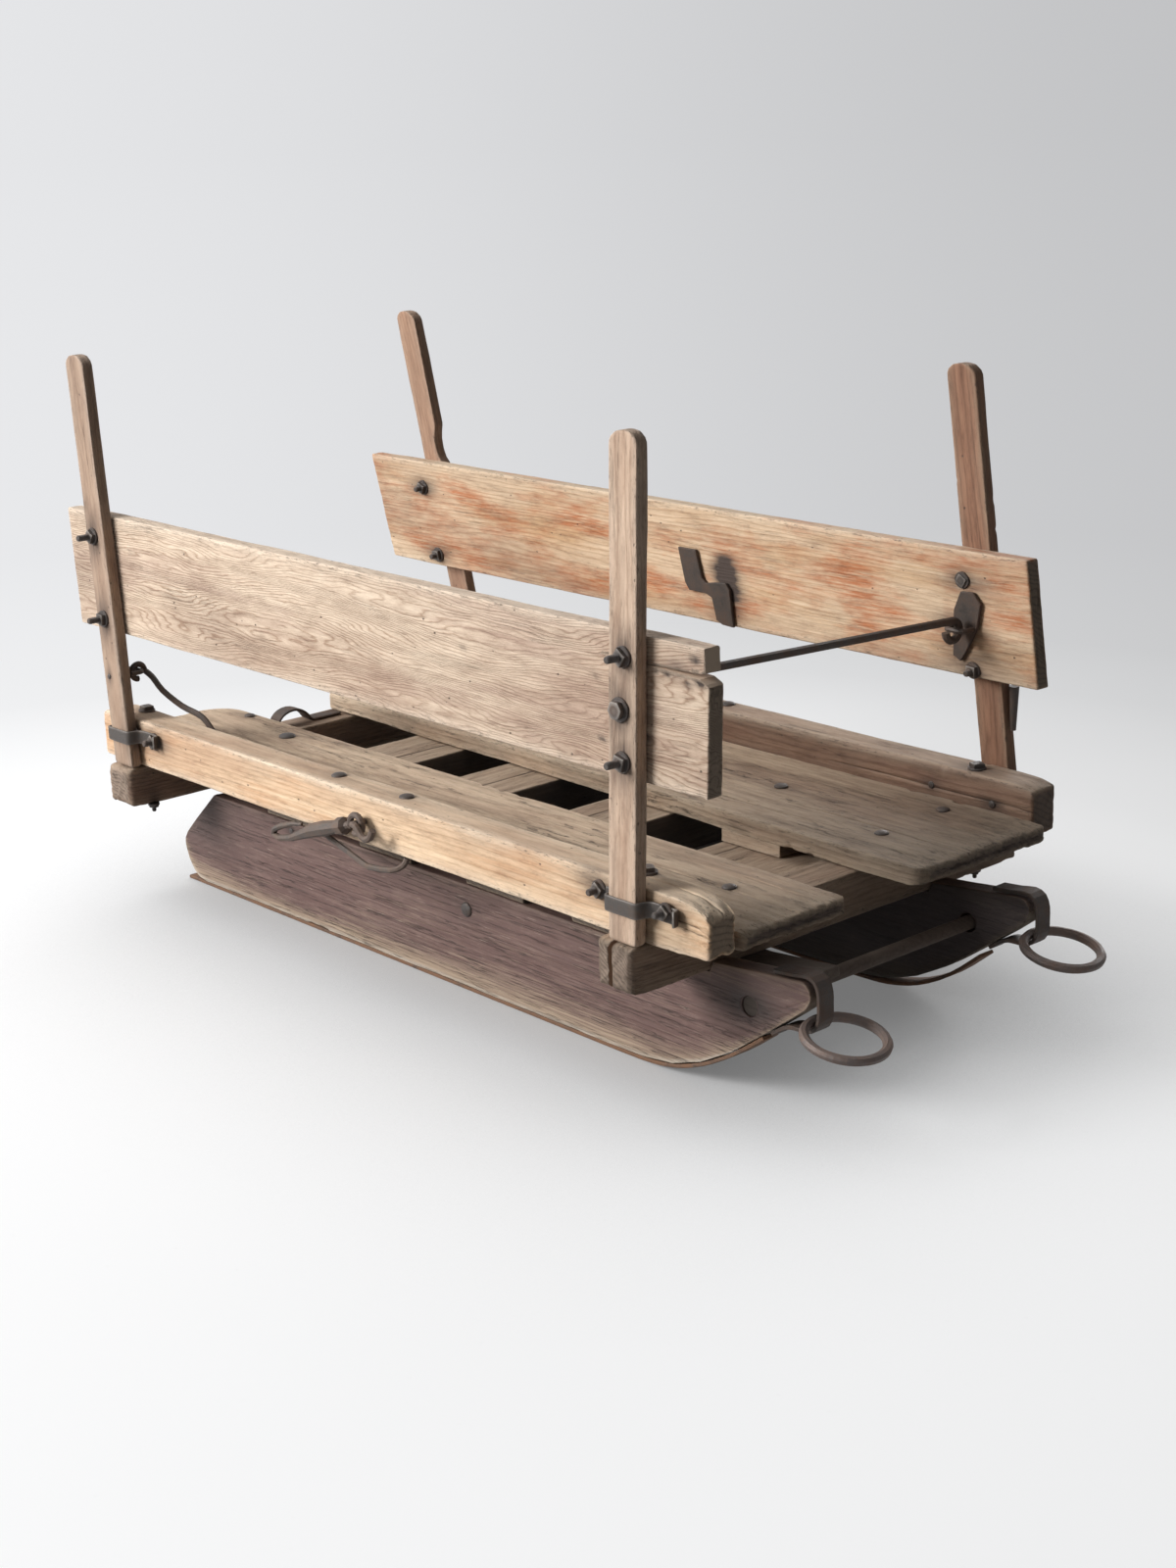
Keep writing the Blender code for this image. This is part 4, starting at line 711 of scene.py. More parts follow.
def makeWood(name, look, ownPlace=True):
    # rings cut by the face, fine fibres, patches of tint, open checks along the grain drawn dark with painted shade
    # and dirt, dirt, worn edges, iron stains, painted shade in the splits, and painted shade with some soil where
    # shade falls
    f = Finish(name)
    place = f.attribute("grainPlace", out=1) if ownPlace else f.node("TexCoord", out=3)
    wear, cut = f.attribute("wornEdge"), f.attribute("endCut")
    # for the rods the end faces take the near-black cut colour: painted shade of the holes they sit in
    if not ownPlace:
        ownY = f.node("SeparateXYZ", place, out=1)
        cut = f.ramp(f.math("ABSOLUTE", f.math("ADD", ownY, 0.013)), (0.2046, 0.0), (0.2050, 1.0))
    stain, weather = f.attribute("stainAndShade"), f.attribute("weather")
    slow = f.grain(place, 2.2, 15.0, 2.0, 0.45)
    bend = f.grain(place, 16.0, 90.0, 3.0, 0.5)
    split = f.node("SeparateXYZ", place, out=0).node
    across, up = split.outputs[1], split.outputs[2]
    far = f.math("SQRT", f.math("ADD", f.math("POWER", f.math("ADD", across, 0.02), 2.0),
                                f.math("POWER", f.math("ADD", up, 0.055), 2.0)))
    swirl = f.timesPlus(slow, 0.085 * look["figure"], f.times(bend, 0.0075 * look["figure"]))
    rings = f.math("FRACT", f.math("DIVIDE", f.math("ADD", far, swirl), look["ring"]))
    late = f.ramp(rings, (0.0, 0.8), (0.18, 0.10), (0.55, 0.0), (0.80, 0.35), (0.93, 1.0), (1.0, 0.8))
    fibre = f.grain(place, 30.0, 1900.0, 4.0, 0.7)
    fleck = f.grain(place, 60.0, 700.0, 3.0, 0.6)
    streak = f.grain(place, 3.5, 190.0, 5.0, 0.66)
    patch = f.grain(place, 3.2, 13.0, 5.0, 0.62)
    figured = f.ramp(f.grain(place, 1.6, 7.0, 2.0), (0.35, 0.35), (0.60, 1.0))
    tone = f.times(late, f.times(figured, 0.50 * min(look["figure"], 1.2) + 0.14))
    tone = f.timesPlus(streak, 0.70, tone)
    tone = f.timesPlus(fibre, 0.55, f.timesPlus(fleck, 0.22, f.math("SUBTRACT", tone, 0.52)))
    colour = f.blend(f.times(tone, 1.0, clamp=True), look["pale"], look["deep"])
    tinted = f.times(f.ramp(f.timesPlus(streak, 0.35, f.times(patch, 0.8)), (0.56, 0.0), (0.72, 1.0)),
                    look["tintHow"])
    colour = f.blend(tinted, colour, f.blend(tone, look["tint"], tuple(v * 0.6 for v in look["tint"])))
    greyHow = f.timesPlus(weather, 0.75 - look["greySide"], look["greySide"])
    greyHow = f.times(greyHow, f.ramp(streak, (0.25, 0.45), (0.65, 1.0)))
    greyTone = f.blend(tone, look["grey"], tuple(v * 0.60 for v in look["grey"]))
    colour = f.blend(greyHow, colour, greyTone)
    if "paint" in look:
        flake = f.grain(place, 5.0, 14.0, 6.0, 0.60)
        worn = f.grain(place, 24.0, 300.0, 5.0, 0.65)
        left = f.times(f.ramp(flake, (0.465, 0.0), (0.60, 1.0)), f.ramp(worn, (0.36, 0.20), (0.58, 0.95)))
        colour = f.blend(f.times(left, 0.95), colour, look["paint"])
    # dirt lies in slow patches and in small dark specks; the open checks are drawn as dark lines, painted shade
    # inside the cracks with dirt
    lines = f.grain(place, 7.0, 420.0, 2.0, 0.5)
    where = f.grain(place, 7.0, 26.0, 4.0, 0.65)
    check = f.times(f.threads(lines, 0.020), f.ramp(where, (0.52, 0.0), (0.68, look["checks"])))
    gash = f.grain(place, 12.0, 120.0, 3.0, 0.6)
    gash = f.threads(gash, 0.020)
    spot = f.grain(place, 10.0, 48.0, 3.0, 0.6)
    check = f.math("MAXIMUM", check, f.times(gash, f.ramp(spot, (0.55, 0.0), (0.62, look.get("gash", 0.0)))))
    dirt = f.grain(place, 9.0, 42.0, 8.0, 0.74)
    dirtHow = f.times(f.ramp(dirt, (0.50, 0.0), (0.80, 1.0)), look["dirt"])
    colour = f.blend(dirtHow, colour, (0.16, 0.11, 0.075))
    colour = f.blend(check, colour, (0.060, 0.038, 0.025))
    grime = f.grain(place, 16.0, 95.0, 9.0, 0.80)
    colour = f.blend(1.0, colour, f.ramp(grime, (0.36, (1.05, 1.05, 1.05)), (0.52, (0.90, 0.87, 0.85)), (0.68,
            (0.56, 0.50, 0.47))), "MULTIPLY")
    cloud = f.grain(place, 2.4, 10.0, 3.0, 0.6)
    colour = f.blend(1.0, colour, f.ramp(cloud, (0.34, (0.74, 0.68, 0.66)), (0.56, (1.0, 1.0, 1.0))),
                     "MULTIPLY")
    speck = f.ramp(f.node("TexVoronoi", f.stretch(place, (1.0, 1.6, 1.6)), None, 34.0, out=0), (0.035, 0.85),
                   (0.075, 0.0))
    colour = f.blend(speck, colour, (0.055, 0.036, 0.026))
    edgeHow = f.times(wear, f.ramp(dirt, (0.30, 0.10), (0.60, 0.60)))
    colour = f.blend(edgeHow, colour, tuple(min(1.0, v * 1.08) for v in look["grey"]))
    crackle = f.grain(place, 70.0, 300.0, 6.0, 0.8)
    colour = f.blend(f.times(wear, f.ramp(crackle, (0.53, 0.0), (0.63, 0.75))), colour, (0.085, 0.060, 0.045))
    # painted shade with some soil: the colour goes towards near black on faces where shade falls
    soil = f.times(f.attribute("soil"), f.ramp(patch, (0.30, 1.1), (0.70, 0.80)), clamp=True)
    colour = f.blend(soil, colour, (0.016, 0.011, 0.008))
    # end grain: rings seen from the end, darker, with short cracks
    saw = f.grain(place, 60.0, 220.0, 5.0, 0.75)
    cutTone = f.blend(f.timesPlus(late, 0.45, f.times(saw, 0.75)), look["cut"],
                      tuple(v * 0.30 for v in look["cut"]))
    colour = f.blend(cut, colour, cutTone)
    # iron stains, and painted shade inside the splits
    blot = f.times(stain, f.timesPlus(f.grain(place, 30.0, 220.0, 4.0), 1.1, 0.35), clamp=True)
    colour = f.blend(blot, colour, (0.050, 0.033, 0.026))
    height = f.math("SUBTRACT", f.timesPlus(fibre, 0.45, f.times(late, 0.45)),
                    f.timesPlus(check, 1.8, f.times(speck, 1.5)))
    height = f.timesPlus(fleck, 0.30, height)
    height = f.timesPlus(saw, f.times(cut, 2.0), height)
    rough = f.timesPlus(tone, 0.12, 0.76)
    return f.finish(colour, rough, height, 0.0006 * look.get("bump", 1.0))


runnerFinish = {"paint": (0.092, 0.049, 0.043), "paintPale": (0.172, 0.098, 0.082), "rubFrom": 1.06,
                "rubTo": 1.36, "edge": (0.62, 0.55, 0.46)}


def makeRunnerWood(name, look):
    # old dark purple brown paint rubbed through along the grain, bare and pale low down by the shoe
    f = Finish(name)
    place = f.attribute("grainPlace", out=1)
    low, wear = f.attribute("lowEdge"), f.attribute("wornEdge")
    stain = f.attribute("stainAndShade")
    slow = f.grain(place, 2.0, 18.0, 3.0, 0.5)
    split = f.node("SeparateXYZ", place, out=0).node
    far = f.math("ADD", split.outputs[2], f.times(slow, 0.085))
    rings = f.math("FRACT", f.math("DIVIDE", far, 0.011))
    late = f.ramp(rings, (0.0, 0.6), (0.45, 0.0), (0.80, 0.30), (0.94, 1.0), (1.0, 0.6))
    fibre = f.grain(place, 16.0, 1300.0, 5.0, 0.65)
    streak = f.grain(place, 5.0, 420.0, 6.0, 0.72)
    patch = f.grain(place, 2.6, 11.0, 7.0, 0.66)
    wood = f.blend(f.timesPlus(late, 0.6, f.times(fibre, 0.5)), (0.52, 0.40, 0.285), (0.24, 0.165, 0.115))
    paint = f.blend(streak, look["paint"], look["paintPale"])
    rub = f.timesPlus(streak, 0.85, f.timesPlus(patch, 0.80, f.times(fibre, 0.30)))
    rub = f.math("ADD", rub, f.timesPlus(f.math("POWER", low, 1.8), 0.42, f.times(late, 0.05)))
    bare = f.ramp(f.math("DIVIDE", rub, 2.0), (look["rubFrom"] / 2, 0.0), (look["rubTo"] / 2, 0.85))
    bare = f.math("MAXIMUM", bare, f.times(wear, f.ramp(patch, (0.40, 0.1), (0.66, 0.6))))
    cloud = f.grain(place, 1.6, 7.0, 3.0, 0.6)
    paint = f.blend(f.ramp(cloud, (0.42, 0.0), (0.62, 0.8)), paint, tuple(v * 1.05 for v in look["paint"]))
    dust = f.grain(place, 12.0, 60.0, 8.0, 0.75)
    paint = f.blend(f.ramp(dust, (0.50, 0.0), (0.72, 0.55)), paint, (0.30, 0.20, 0.165))
    colour = f.blend(bare, paint, wood)
    scratch = f.ramp(f.grain(place, 26.0, 620.0, 4.0, 0.6), (0.64, 0.0), (0.72, 0.75))
    colour = f.blend(scratch, colour, (0.42, 0.33, 0.26))
    # open checks drawn as dark lines: painted shade inside the cracks, with dirt
    lines = f.grain(place, 4.0, 190.0, 3.0, 0.55)
    check = f.threads(lines, 0.012)
    colour = f.blend(f.times(check, 0.6), colour, (0.035, 0.024, 0.02))
    edge = f.times(f.ramp(low, (0.86, 0.0), (0.98, 0.85)), f.ramp(dust, (0.36, 0.35), (0.56, 1.0)))
    colour = f.blend(edge, colour, look["edge"])
    # iron stains, and a painted shadow round the rod hole
    colour = f.blend(f.times(stain, 0.9, clamp=True), colour, (0.030, 0.020, 0.016))
    # painted shade with some soil on the runners' inner faces
    colour = f.blend(f.times(f.attribute("soil"), 1.0, clamp=True), colour, (0.013, 0.010, 0.009))
    height = f.timesPlus(fibre, 0.5, f.times(late, 0.4))
    height = f.math("SUBTRACT", f.timesPlus(bare, -0.5, height), check)
    rough = f.timesPlus(bare, 0.20, 0.60)
    return f.finish(colour, rough, height, 0.0007)


def makeIron(name, dark, rust, rustHow, rough=0.55):
    # forged iron: dark skin, rust in patches, fine pits
    f = Finish(name)
    place = f.node("TexCoord", out=3)
    patch = f.noise(place, 38.0, 7.0, 0.68)
    fine = f.noise(place, 420.0, 5.0, 0.7)
    pits = f.node("TexVoronoi", place, None, 900.0, out=0)
    how = f.ramp(f.timesPlus(fine, 0.35, f.times(patch, 0.85)), (0.62 - rustHow, 0.0), (0.92 - rustHow, 1.0))
    colour = f.blend(how, dark, rust)
    colour = f.blend(f.ramp(fine, (0.58, 0.0), (0.80, 0.45)), colour, tuple(v * 1.9 for v in rust))
    colour = f.blend(f.ramp(patch, (0.28, 0.6), (0.42, 0.0)), colour, tuple(v * 0.45 for v in dark))
    rubbed = f.times(f.attribute("wornEdge"), f.ramp(patch, (0.35, 0.1), (0.60, 0.8)))
    colour = f.blend(rubbed, colour, (0.26, 0.235, 0.21))
    height = f.timesPlus(fine, 0.8, f.times(f.ramp(pits, (0.0, 0.0), (0.35, 1.0)), 0.5))
    roughness = f.timesPlus(how, 0.28, rough)
    return f.finish(colour, roughness, height, 0.0005, metal=0.35)


makeCamera()
makeStudio()
makeFloor()
print("studio ready")

woods = {name: makeWood(name + "Wood", look) for name, look in woodFinish.items() if name != "rod"}
woods["runner"] = makeRunnerWood("runnerWood", runnerFinish)
woods["rod"] = makeWood("oldRodWood", woodFinish["rod"], False)
irons = {
    "forged": makeIron("forgedIron", (0.052, 0.041, 0.035), (0.105, 0.062, 0.042), 0.10),
    "strap": makeIron("strapIron", (0.066, 0.056, 0.050), (0.115, 0.074, 0.050), 0.02, 0.48),
    "shoe": makeIron("shoeIron", (0.105, 0.070, 0.052), (0.225, 0.120, 0.068), 0.22),
    "worn": makeIron("wornIron", (0.082, 0.068, 0.060), (0.165, 0.112, 0.084), 0.14, 0.58),
    "bolt": makeIron("boltIron", (0.062, 0.052, 0.047), (0.115, 0.068, 0.045), 0.06, 0.46),
    "ring": makeIron("ringIron", (0.120, 0.098, 0.090), (0.190, 0.125, 0.095), 0.12, 0.50),
}
print("finishes ready")


# timbers of the bed and sides
def at(x):
    # distance from the rails' rear end to the sled's own x
    return railRear + x


def opened(side, across, begin, end, depth, sway=0.004):
    # an open check in a timber: its side, its place across that side from -1 to 1, its two ends and its depth
    return {"side": side, "at": across, "from": begin, "to": end, "depth": depth, "sway": sway}


def arc(x0, x1, v0, v1, steps=8):
    # quarter round from (x0, v0) to (x1, v1), flat at the second end
    a = np.radians(np.linspace(0, 90, steps))
    return x0 + (x1 - x0) * (1 - np.cos(a)), v0 + (v1 - v0) * np.sin(a)


railRightTop = ([at(0.0), at(0.010), at(0.022), at(1.190), at(1.212), at(1.230), at(1.242), at(1.250)],
                [0.2683, 0.2743, 0.2763, 0.2763, 0.2755, 0.2722, 0.2680, 0.2625])
railLeftTop = ([at(0.0), at(1.174), at(1.206), at(1.219), at(1.229)], [0.2763, 0.2763, 0.2751, 0.2726, 0.2703])
cornerX, cornerB = arc(at(-0.012), at(0.036), -0.146, -0.098)
plankRightInner = (np.append(cornerX, at(1.256)), np.append(cornerB, -0.098))
plankLeftInner = ([at(0.045), at(1.244), at(1.256)], [0.052, 0.028, 0.040])
runnerTop = ([at(v) for v in (0.040, 0.046, 0.075, 0.128, 1.1538, 1.1539, 1.240, 1.298, 1.307, 1.311)],
             [0.060, 0.072, 0.100, 0.148, 0.148, 0.161, 0.1695, 0.1740, 0.1700, 0.1580])
runnerLow = ([at(v) for v in (0.040, 0.045, 0.060, 0.072, 0.090, 0.990, 1.040, 1.085, 1.134, 1.185, 1.234,
                              1.280, 1.306, 1.311)],
             [0.060, 0.036, 0.016, 0.008, 0.005, 0.005, 0.006, 0.0115, 0.028, 0.0555, 0.090, 0.1235, 0.1435,
              0.158])


def crown(foot, wide, top, notch=False):
    # a stake's two edges: they close in a low round at the top; the left rear one has a broken notch
    ups = np.array([0.0, 0.5, 0.86, 1.0]) * 0.014 + top - 0.014
    low = ([bedLow, *ups], foot + wide * np.array([0, 0, 0.07, 0.24, 0.44]))
    if not notch:
        return low, ([bedLow, *ups], foot + wide * np.array([1, 1, 0.93, 0.76, 0.56]))
    rise = 0.56 + 0.06 * np.array([0, 0.10, 0.35, 0.62, 0.84, 1.0])
    return low, ([bedLow, *rise, *ups], foot + wide * np.array([1, 1.0, 0.86, 0.78, 0.80, 0.90, 1.0, 1, 0.93,
            0.76, 0.56]))


def stakeSpec(word, foot, back, side, top, wood, seed, notch=False):
    # a stake from its foot's place, its lean back, its side (1 left, -1 right) and its top
    inner, outer = (0.322, 0.340) if side > 0 else (-0.340, -0.322)
    low, high = crown(at(foot), 0.046, top, notch)
    return {"node": "stake_" + word, "slot": "stake_wood", "wood": wood, "axis": "z",
            "span": (0.2084, top), "b": (low, high), "footRound": 0.006, "c": (inner, outer), "back": back,
            "lean": 0.019 if side < 0 else -0.1233, "edge": 0.0034, "seed": seed, "rough": 0.0007,
            "cell": 0.0035,
            "step": 0.005}


# each piece's darkening by normal or by place along x is painted shade, with some soil
timbers = [
    {"node": "rail_right", "slot": "rail_wood", "wood": "rail", "axis": "x",
     "span": (at(0.0), at(1.25)), "b": (-0.321, -0.271), "c": (woodLow, railRightTop), "edge": 0.0045,
     "seed": 3, "footRound": 0.012,
     "endWear": [(at(1.25), 0.034, 0.0048)], "stains": [(at(1.070), -0.321, 0.262, 0.017, 0.9), (at(1.165),
             -0.321, 0.226, 0.030, 0.35),
                                                       (at(0.640), -0.321, 0.222, 0.012, 0.9),
             (at(0.150), -0.321, 0.256, 0.016, 0.6)],
     "rough": 0.0008, "chips": 1.4,
     "splits": [opened("left", 0.30, at(1.12), at(1.26), 0.002),
                opened("left", 0.05, at(1.17), at(1.26), 0.003),
                opened("top", 0.2, at(1.12), at(1.26), 0.004, 0.008)]},
    # the left rail takes the darker copy of the rail finish: painted shade, with more dirt
    {"node": "rail_left", "slot": "rail_wood", "wood": "railLeft", "axis": "x",
     "soil": [("y", -1.0, 1.0, 0.42), ("along", at(0.7), at(1.2), 0.30)],
     "span": (at(0.0), at(1.229)), "b": (0.271, 0.321), "c": (woodLow, railLeftTop), "edge": 0.005, "seed": 4,
     "endWear": [(at(1.229), 0.015, 0.002)],
     "rough": 0.0008, "splits": [opened("left", 0.1, at(0.88), at(1.24), 0.0015)]},
    {"name": "worn_plank_right", "node": "deck_plank_right", "slot": "deck_wood", "wood": "deck", "axis": "x",
     "span": (at(-0.012), at(1.256)), "b": (-0.2707, plankRightInner), "c": (woodLow, bedTop), "edge": 0.0035,
     "seed": 5, "soil": [("along", at(0.85), at(1.25), 0.40)], "endWear": [(at(1.256), 0.035, 0.0030)],
     "headRound": 0.007,
     "rough": 0.0010, "chips": 1.5, "endRough": 0.0035,
     "splits": [opened("top", 0.1, at(1.0), at(1.26), 0.006, 0.01),
                opened("top", 0.62, at(1.12), at(1.26), 0.006),
                opened("top", -0.35, at(0.5), at(0.9), 0.002, 0.01)]},
    {"name": "worn_plank_left", "node": "deck_plank_left", "slot": "deck_wood", "wood": "deck", "axis": "x",
     "span": (at(0.045), at(1.256)), "b": (plankLeftInner, 0.2707), "c": (woodLow, bedTop), "edge": 0.0045,
     "seed": 6, "soil": [("along", at(0.70), at(1.25), 0.62)], "endWear": [(at(1.256), 0.035, 0.0030)],
     "headRound": 0.008,
     "rough": 0.0011, "chips": 1.6, "endRough": 0.0035,
     "splits": [opened("top", -0.3, at(0.95), at(1.26), 0.005, 0.012),
                opened("top", 0.25, at(1.05), at(1.26), 0.005, 0.01),
                opened("top", -0.62, at(0.7), at(1.0), 0.003, 0.01)]},
    {"name": "worn_board_left", "node": "side_board_left", "slot": "board_wood", "wood": "boardLeft",
     "axis": "x",
     "span": (at(-0.0746), at(1.2244)), "b": (0.2977, 0.3217), "c": (0.397, 0.564), "lean": -0.1233,
     "edge": 0.0035,
     "stains": [(at(0.692), 0.2715, 0.492, 0.010, 1.5), (at(0.690), 0.2730, 0.480, 0.011, 2.3),
                (at(0.692), 0.2742, 0.467, 0.011, 2.3),
                (at(0.696), 0.2760, 0.453, 0.011, 2.0), (at(0.698), 0.2765, 0.440, 0.011, 1.6),
                (at(0.690), 0.2785, 0.428, 0.013, 1.0), (at(0.688), 0.2800, 0.414, 0.016, 0.8),
                (at(1.118), 0.2800, 0.420, 0.026, 0.8),
                (at(1.105), 0.2750, 0.463, 0.020, 0.8), (at(1.121), 0.2680, 0.520, 0.020, 0.7)], "seed": 7,
     "slantStart": -0.1265, "slantEnd": -0.036, "rough": 0.0008},
    {"name": "worn_board_right", "node": "side_board_right", "slot": "board_wood", "wood": "boardRight",
     "axis": "x",
     "span": (at(-0.0345), at(1.2527)), "b": (-0.3217, -0.2977), "c": (0.397, 0.564), "lean": 0.019,
     "edge": 0.0028,
     "stains": [(at(0.30), -0.3190, 0.440, 0.045, 0.18), (at(-0.030), -0.3190, 0.470, 0.045, 0.30),
                (at(0.010), -0.3190, 0.560, 0.030, 0.25),
                (at(1.160), -0.3190, 0.450, 0.0035, 1.3), (at(1.085), -0.3190, 0.4350, 0.0030, 1.3),
                (at(0.842), -0.3190, 0.500, 0.0030, 1.3), (at(1.075), -0.3190, 0.5060, 0.0030, 1.3),
                (at(1.205), -0.3180, 0.535, 0.010, 0.7), (at(1.233), -0.3175, 0.549, 0.0042, 1.7),
                (at(1.241), -0.3175, 0.525, 0.0045, 1.7), (at(1.222), -0.3175, 0.520, 0.0032, 1.5),
                (at(1.190), -0.3180, 0.527, 0.0036, 1.6), (at(1.172), -0.3180, 0.528, 0.0026, 1.5)], "seed": 8,
     "slantStart": -0.1085, "slantEnd": 0.0145, "rough": 0.0008},
    {"node": "bolster_front", "slot": "bolster_wood", "wood": "bolster", "axis": "y",
     "span": (-0.344, 0.344), "b": (at(1.091), at(1.153)), "c": (bolsterLow, bedLow), "edge": 0.005, "seed": 9,
     "soil": [("y", -1.0, 1.0, 0.62)], "footRound": 0.009, "headRound": 0.008,
     "endWear": [(-0.344, 0.020, 0.0022), (0.344, 0.02, 0.002)],
     "rough": 0.0009, "endRough": 0.003},
    {"node": "bolster_rear", "slot": "bolster_wood", "wood": "bolster", "axis": "y",
     "span": (-0.344, 0.344), "b": (at(0.043), at(0.105)), "c": (bolsterLow, bedLow), "edge": 0.0065,
     "seed": 10, "footRound": 0.009, "endWear": [(-0.344, 0.020, 0.0030)],
     "rough": 0.0009, "endRough": 0.003},
    {"node": "packing_block", "slot": "bolster_wood", "wood": "bearer", "axis": "x",
     "span": (at(0.911), at(1.015)), "b": (0.040, 0.100), "c": (0.1903, bedLow), "edge": 0.002, "seed": 15},
    stakeSpec("right_front", 1.111, 0.0145, -1, 0.787, "stakePale", 21),
    stakeSpec("right_rear", 0.063, -0.1085, -1, 0.787, "stakeRear", 22),
    stakeSpec("left_front", 1.107, -0.030, 1, 0.795, "stakeBrown", 23),
    stakeSpec("left_rear", 0.043, -0.0912, 1, 0.795, "stakeMid", 24, True),
]
for n, (x, wide, drop) in enumerate(((0.264, 0.116, 0.0), (0.479, 0.114, 0.0), (0.707, 0.114, 0.0),
        (0.911, 0.150, 0.018))):
    timbers.append({"node": "bearer_%d" % (n + 1), "slot": "bolster_wood",
                    "wood": "bearer", "axis": "y", "span": (-0.221, 0.195), "b": (at(x), at(x + wide)),
                    "c": (bolsterLow, bedLow - drop), "edge": 0.0028, "seed": 11 + n, "rough": 0.0008,
                    "soil": [("x", 1.0, 1.0, 0.55 if n == 3 else 0.93), ("x", -1.0, 1.0, 0.93),
                             ("z", -1.0, 1.0, 0.8)],
                    "splits": [opened("top", 0.3 - 0.3 * n, -0.15, 0.12, 0.003)]})
# the runners' inner faces carry painted shade with some soil, and the dark ring round each rod hole is a painted
# shadow round the hole with iron stain
runners = [
    {"node": "runner_right", "slot": "runner_wood", "wood": "runner", "axis": "x",
     "span": (at(0.040), at(1.311)), "b": (-0.221, -0.192), "c": (runnerLow, runnerTop), "edge": 0.0028,
     "seed": 17,
     "soil": [("y", 1.0, 1.0, 0.75)], "stains": [(at(1.216), -0.221, 0.124, 0.024, 1.1), (at(0.060), -0.221,
             0.110, 0.05, 0.6)],
     "rough": 0.0008, "cell": 0.005},
    {"node": "runner_left", "slot": "runner_wood", "wood": "runner", "axis": "x",
     "span": (at(0.040), at(1.311)), "b": (0.166, 0.195), "c": (runnerLow, runnerTop), "edge": 0.0028,
     "seed": 18,
     "soil": [("y", -1.0, 1.0, 0.80)], "stains": [(at(1.216), 0.195, 0.124, 0.024, 1.1)],
     "rough": 0.0008, "cell": 0.005},
]


def cutter(name, outline, axis, low, high):
    # prism over an outline, used to take wood away; it is removed afterwards
    ring = np.array(outline, float)
    n = len(ring)
    pts = np.zeros((2 * n, 3))
    pts[:, [k for k in range(3) if k != axis]] = np.tile(ring, (2, 1))
    pts[:n, axis], pts[n:, axis] = low, high
    i = np.arange(n)
    k = (i + 1) % n
    faces = outward(pts, [np.stack([i, k, k + n, i + n], 1), i[None, ::-1], (i + n)[None, :]])
    return meshFrom(name, pts, faces, False)


def takeAway(obj, tool):
    # the piece less the tool; the piece stays whole if most of it would go
    mod = obj.modifiers.new("cut", "BOOLEAN")
    mod.operation, mod.solver, mod.object = "DIFFERENCE", "EXACT", tool
    bpy.context.view_layer.update()
    done = bpy.data.meshes.new_from_object(obj.evaluated_get(bpy.context.evaluated_depsgraph_get()))
    obj.modifiers.clear()
    if len(done.vertices) > 0.8 * len(obj.data.vertices):
        obj.data = done
    else:
        print("cut left out on", obj.name)
    bpy.data.objects.remove(tool)


def makeStrap(word, foot, back, lean, side):
    # P(s, t) = path(s) + normal(s) u(t) + up v(t): a flat bar bent round the stake and out to two feet on the rail
    low, high = boxOf("strap_" + word)
    z, t = (low[2] + high[2]) / 2, 0.0034
    x0 = at(foot) + back * (z - bedLow)
    x1 = x0 + 0.046
    out = 0.340 - abs(lean) * (z - railTop) + t / 2 + 0.0006
    rest = 0.321 + t / 2 + 0.0003
    tip = high[0] - 0.001
    line = np.array([(x0 - 0.020, rest), (x0 - 0.012, rest), (x0 - 0.0050, rest + 0.001),
                     (x0 - 0.0032, rest + 0.006), (x0 - 0.0030, out - 0.003),
                     (x0 - 0.0012, out - 0.0006), (x0 + 0.004, out), (x1 - 0.004, out),
                     (x1 + 0.0012, out - 0.0006), (x1 + 0.0034, out - 0.004),
                     (x1 + 0.0050, rest + 0.006), (x1 + 0.0090, rest + 0.001), (x1 + 0.018, rest),
                     (tip - 0.006, rest), (tip - 0.0015, rest + 0.0006),
                     (tip, rest + 0.004), (tip + 0.0005, rest + 0.009)])
    for _ in range(3):
        cut = np.stack([line[:-1] * 0.75 + line[1:] * 0.25, line[:-1] * 0.25 + line[1:] * 0.75], 1).reshape(-1,
                2)
        line = np.concatenate([line[:1], cut, line[-1:]])
    slope = np.gradient(line, axis=0)
    slope /= np.linalg.norm(slope, axis=1)[:, None]
    a = np.linspace(0, 2 * math.pi, 28, endpoint=False)
    soften = lambda v: np.sign(v) * np.abs(v) ** 0.32
    u, v = soften(np.sin(a)) * t / 2, soften(np.cos(a)) * (high[2] - low[2]) / 2
    v = v[None, :] * (1 + 0.04 * (drift(line[:, :1] / 0.012, np.sign(v)[None, :] + 4, 61) - 0.5))
    x = line[:, :1] - slope[:, 1:] * u[None, :]
    y = line[:, 1:] + slope[:, :1] * u[None, :]
    grid = np.stack([x, side * y, z + v], -1).reshape(-1, 3)
    pts = np.concatenate([grid, [grid[:28].mean(0)], [grid[-28:].mean(0)]])
    obj = meshFrom("worn_strap_" + word, pts, outward(pts, tubeFaces(len(line), 28)))
    rim = np.clip(np.abs(v) / ((high[2] - low[2]) / 2) * 3 - 2.2, 0, 1)
    setAttribute(obj, "wornEdge", np.concatenate([rim.ravel(), [1, 1]]))
    obj.data.materials.append(irons["strap"])
    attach(obj, "frame")
    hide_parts("strap_" + word)


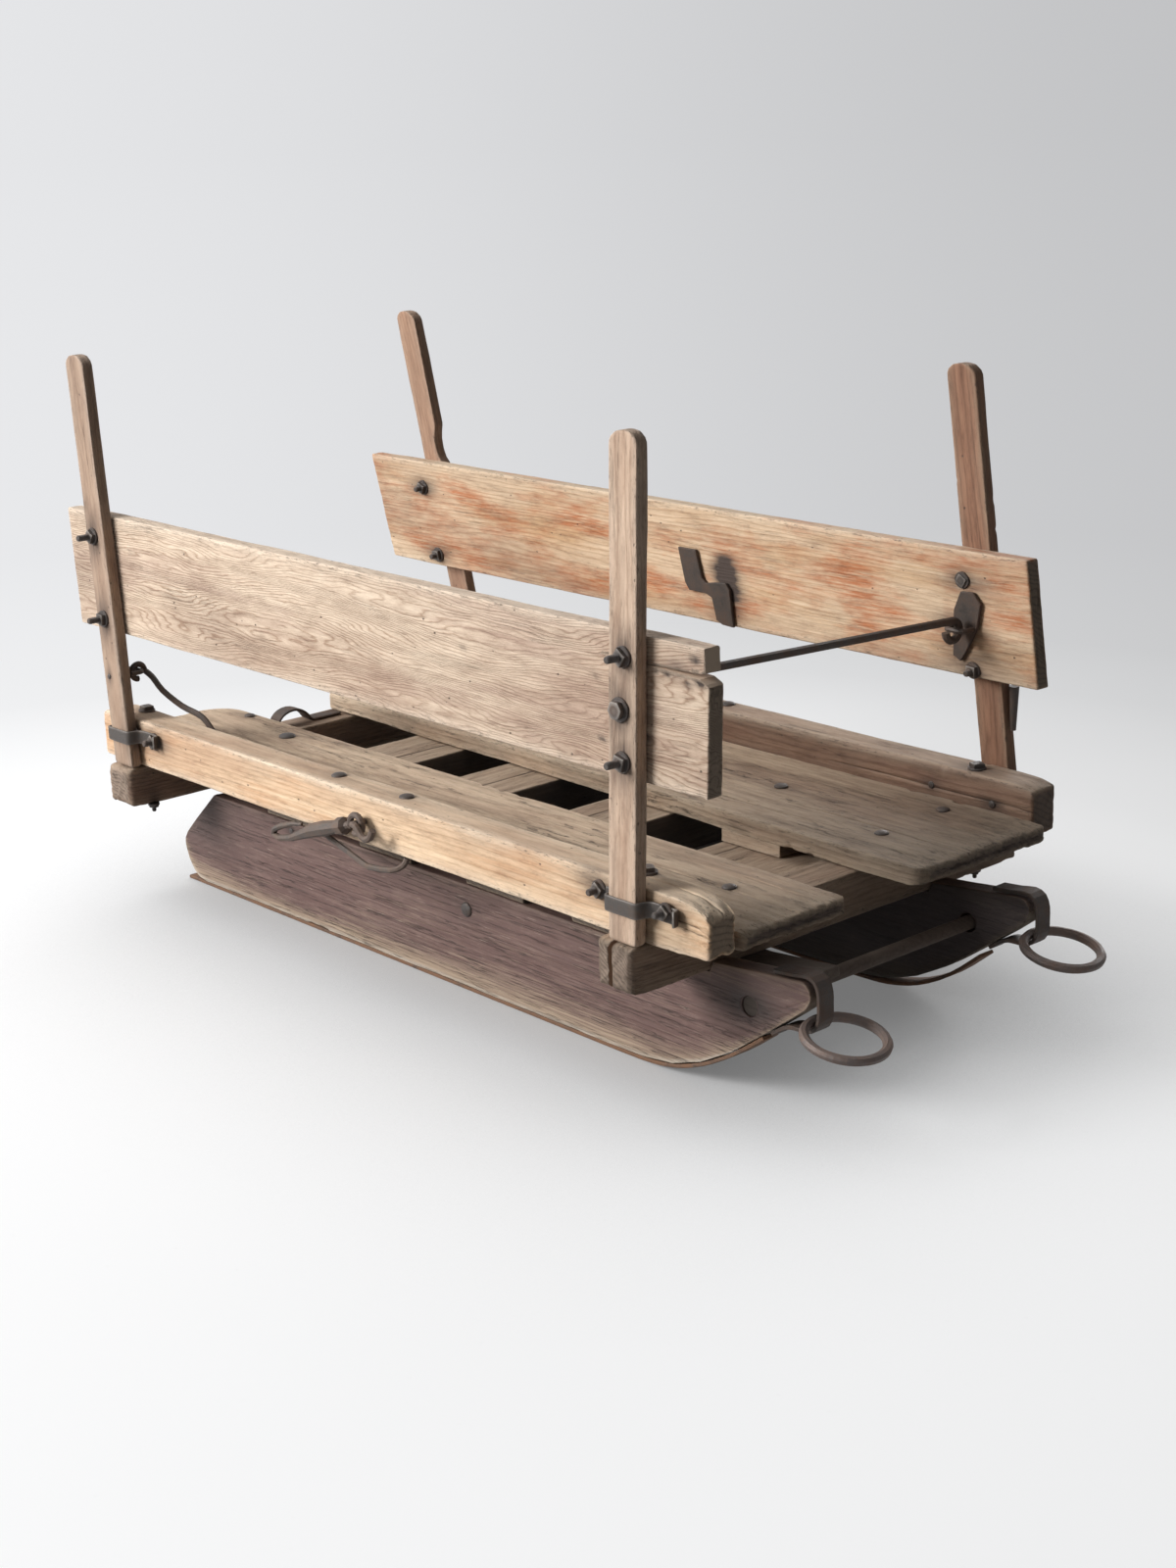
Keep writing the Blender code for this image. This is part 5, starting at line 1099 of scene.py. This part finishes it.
made = {}
for spec in timbers + runners:
    made[spec["node"]] = timber(spec)
for side in ("right", "left"):
    obj = made["runner_" + side]
    pts = readVertices(obj, "co")
    low = np.interp(pts[:, 0], *runnerLow)
    nose = np.clip((pts[:, 0] - at(1.10)) / 0.12, 0, 1)
    setAttribute(obj, "lowEdge", np.clip(1 - (pts[:, 2] - low) / (0.055 - 0.040 * nose), 0, 1))
    turn = np.radians(np.arange(0, 360, 12))
    hole = np.stack([at(1.216) + 0.0126 * np.cos(turn), 0.122 + 0.0126 * np.sin(turn)], 1)
    y0, y1 = (-0.23, -0.18) if side == "right" else (0.16, 0.20)
    takeAway(obj, cutter("hole", hole, 1, y0, y1))
    print("runner", side, "done")
splitLine = [(at(1.260), 0.5395), (at(1.240), 0.5345), (at(1.165), 0.5330), (at(1.085), 0.5342),
             (at(1.165), 0.5318), (at(1.222), 0.5300), (at(1.240), 0.5288), (at(1.250), 0.5245),
             (at(1.260), 0.5180)]
tipLine = [(at(1.2500), 0.53), (at(1.2465), 0.57), (at(1.28), 0.57), (at(1.28), 0.53)]
crackLine = [(at(1.1125), -0.35), (at(1.1150), -0.30), (at(1.1165), -0.289), (at(1.1180), -0.30),
             (at(1.1195), -0.35)]
for node, name, line, axis, low, high in (("side_board_right", "slit", splitLine, 1, -0.35, -0.28),
                                          ("side_board_right", "tip", tipLine, 1, -0.35, -0.28),
                                          ("bolster_front", "crack", crackLine, 2, 0.14, 0.22)):
    takeAway(made[node], cutter(name, line, axis, low, high))
print("timbers done")

for word, foot, back, lean, side in (("right_front", 1.111, 0.0145, 0.019, -1),
        ("right_rear", 0.063, -0.1085, 0.019, -1),
                                     ("left_front", 1.107, -0.030, 0.1233, 1),
        ("left_rear", 0.043, -0.0912, 0.1233, 1)):
    makeStrap(word, foot, back, lean, side)
makeBolts("bolts_right", ("stakeRight", "boardRight", "railRight", "footRight", "runnerRight"))
makeBolts("bolts_left", ("stakeLeft", "boardLeft", "byPlate", "railLeftInner", "footLeft", "runnerLeft"))
makeBolts("bolts_bed", ("railTop", "plankTop", "bearerTop", "under"))
print("bolts done")

# finishes of the iron that keeps its solid
keepIron = {"shoe_right": "shoe", "shoe_left": "shoe", "draw_ring_right": "ring", "draw_ring_left": "ring",
            "snap": "worn", "bent_rod": "worn", "rail_hook": "worn"}
for name, obj in nodes.items():
    if obj.hide_render:
        continue
    obj.data.materials.clear()
    obj.data.materials.append(irons[keepIron.get(name, "forged")])
for name in ("cross_rod", "nose_brace"):
    nodes[name].data.materials.clear()
    nodes[name].data.materials.append(woods["rod"])

bpy.context.scene.view_settings.view_transform = "Standard"
